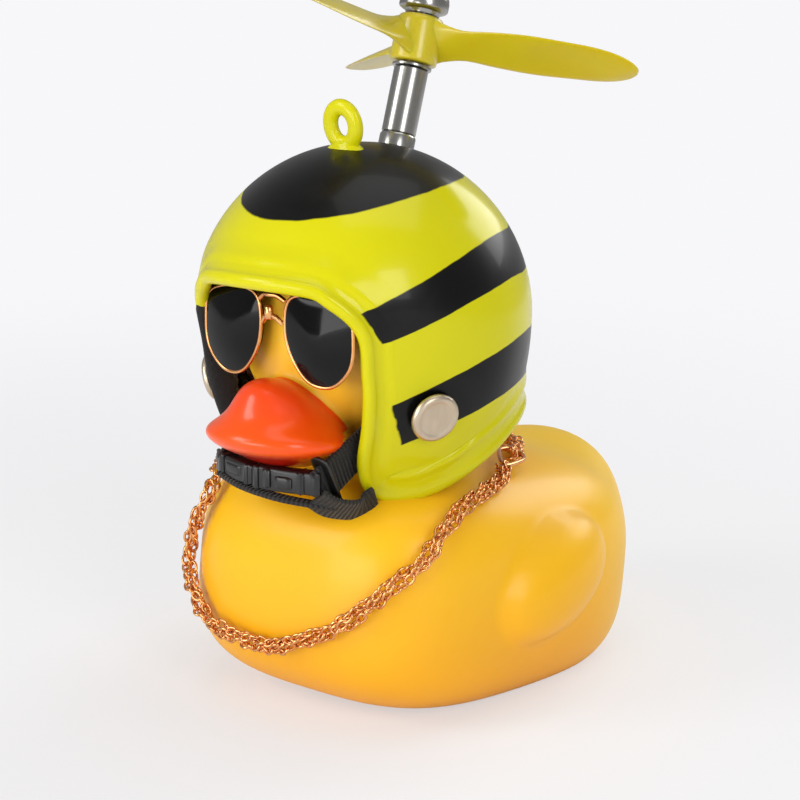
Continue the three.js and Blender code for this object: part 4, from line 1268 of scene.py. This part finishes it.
chain = {
    "route": [
        (22, -1, 43), (25, -7, 41), (25.5, -16, 39), (25.3, -22, 37.3), (24.5, -30, 31.7),
        (18.5, -37.7, 23.8), (11.9, -40.5, 19.4), (0.6, -41.2, 14.3), (-12, -40, 14.7), (-20, -36.8, 18.5),
        (-24.5, -33.3, 24), (-22.1, -33.5, 30.4), (-19, -31, 36.5), (-23, -22, 38.5), (-25, -10, 41),
        (-21, 4, 44), (-12, 16, 46), (0, 21, 46), (11, 17, 46), (17.5, 9.5, 45),
    ],
    "standOff": 1.55,
    "roughSteps": 400,
    "everyStep": 4,
    "steps": 1600,
    "leftOutFirst": 1.7,
    "leftOutLast": 7.48,
    "strands": 3,
    "apart": 0.92,
    "flattened": 0.8,
    "twist": 15,
    "wander": 0.45,
    "wanderEvery": 9,
    "pitch": 1.6,
    "length": 2.6,
    "width": 1.8,
    "wire": 0.26,
    "roll": 42,
    "jitter": 16,
    "seed": 5,
}
# Each corner of the clasp is (share of its half length, distance aside)
clasp = {
    "past": 0.5,
    "higher": 0.4,
    "wire": 0.42,
    "corners": [(-1, 0), (-0.3, 1.5), (0.5, 2.3), (1, 1.2), (1, -1.2), (0.5, -2.3), (-0.3, -1.5)],
}


def linkShape():
    # A ring drawn out along X and lying in the XY plane
    angle = np.linspace(0, 2 * np.pi, 12, endpoint=False)
    half = (chain["length"] / 2 - chain["wire"], chain["width"] / 2 - chain["wire"])
    path = np.column_stack([half[0] * np.cos(angle), half[1] * np.sin(angle), 0 * angle])
    return wrapped(carried(path, circle(chain["wire"], 6), axisZ, closed=True), True)


def repeated(solid, places, bases):
    # Copies of one solid, each at a place with its own three directions
    points, quads, _ = solid
    moved = places[:, None] + np.einsum("pk,nkx->npx", points, bases)
    faces = quads[None] + (np.arange(len(places)) * len(points))[:, None, None]
    return moved.reshape(-1, 3), faces.reshape(-1, 4), np.empty((0, 3), int)


def chainLoop():
    # The route laid on the vinyl, with a stretch left out at both ends for the clasp
    loop, _ = onVinyl(curveThrough(chain["route"], chain["roughSteps"], closed=True), chain["standOff"])
    loop = curveThrough(loop[::chain["everyStep"]], chain["steps"], closed=True)
    total = lengthsAlong(loop)[-1]
    first = int(chain["steps"] * chain["leftOutFirst"] / total)
    last = int(chain["steps"] * (1 - chain["leftOutLast"] / total))
    return onVinyl(loop[first:last], chain["standOff"])


def strandLinks(number, loop, normal, random):
    # One strand winds about the loop, a little unevenly. Its links are turned by turns to either side of
    # the way the loop faces.
    _, across, out = framesAlong(loop, normal)
    lengths = lengthsAlong(loop)
    every = chain["wanderEvery"]
    knots = np.arange(0, lengths[-1] + every, every)
    wander = np.interp(lengths, knots, random.normal(0, chain["wander"], int(lengths[-1] / every) + 2))
    turn = 2 * np.pi * (lengths / chain["twist"] + number / chain["strands"]) + wander
    aside = np.cos(turn)[:, None] * across + chain["flattened"] * np.sin(turn)[:, None] * out
    path = loop + chain["apart"] * aside
    count = int(lengthsAlong(path)[-1] / chain["pitch"])
    picks = np.linspace(0, len(path) - 1, count)
    rows = np.arange(len(path))
    spots = readAt(picks, rows, path)
    ways = slopes(spots)
    outs = readAt(picks, rows, out)
    outs = unit(outs - np.sum(outs * ways, axis=1, keepdims=True) * ways)
    across = np.cross(outs, ways)
    eitherWay = np.where(np.arange(count) % 2, 1, -1)
    roll = np.radians(eitherWay * chain["roll"] + random.normal(0, chain["jitter"], count))
    cos, sin = np.cos(roll)[:, None], np.sin(roll)[:, None]
    bases = np.stack([ways, across * cos + outs * sin, outs * cos - across * sin], axis=1)
    return repeated(linkShape(), spots, bases)


def claspSolid(start, end):
    # A rounded ring of wire that lies on the vinyl between the two ends of the chain
    centres, normals = onVinyl(np.array([(start + end) / 2]), chain["standOff"] + clasp["higher"])
    centre, normal = centres[0], normals[0]
    way = unit(end - start - normal * np.dot(end - start, normal))
    aside = np.cross(normal, way)
    half = np.linalg.norm(end - start) / 2 + clasp["past"]
    corners = [centre + way * half * share + aside * out for share, out in clasp["corners"]]
    path = curveThrough(corners, 72, closed=True)
    return wrapped(carried(path, circle(clasp["wire"], 12), normal, closed=True), True)


def makeChain():
    loop, normal = chainLoop()
    random = np.random.default_rng(chain["seed"])
    links = [strandLinks(number, loop, normal, random) for number in range(chain["strands"])]
    piece("chainLinks", links, copper, ("neck_chain",), sharp=80)
    piece("claspRing", [claspSolid(loop[0], loop[-1])], copper, ("chain_clasp",), sharp=80)
    print("chain made,", sum(len(solid[0]) for solid in links), "points")


makeChain()
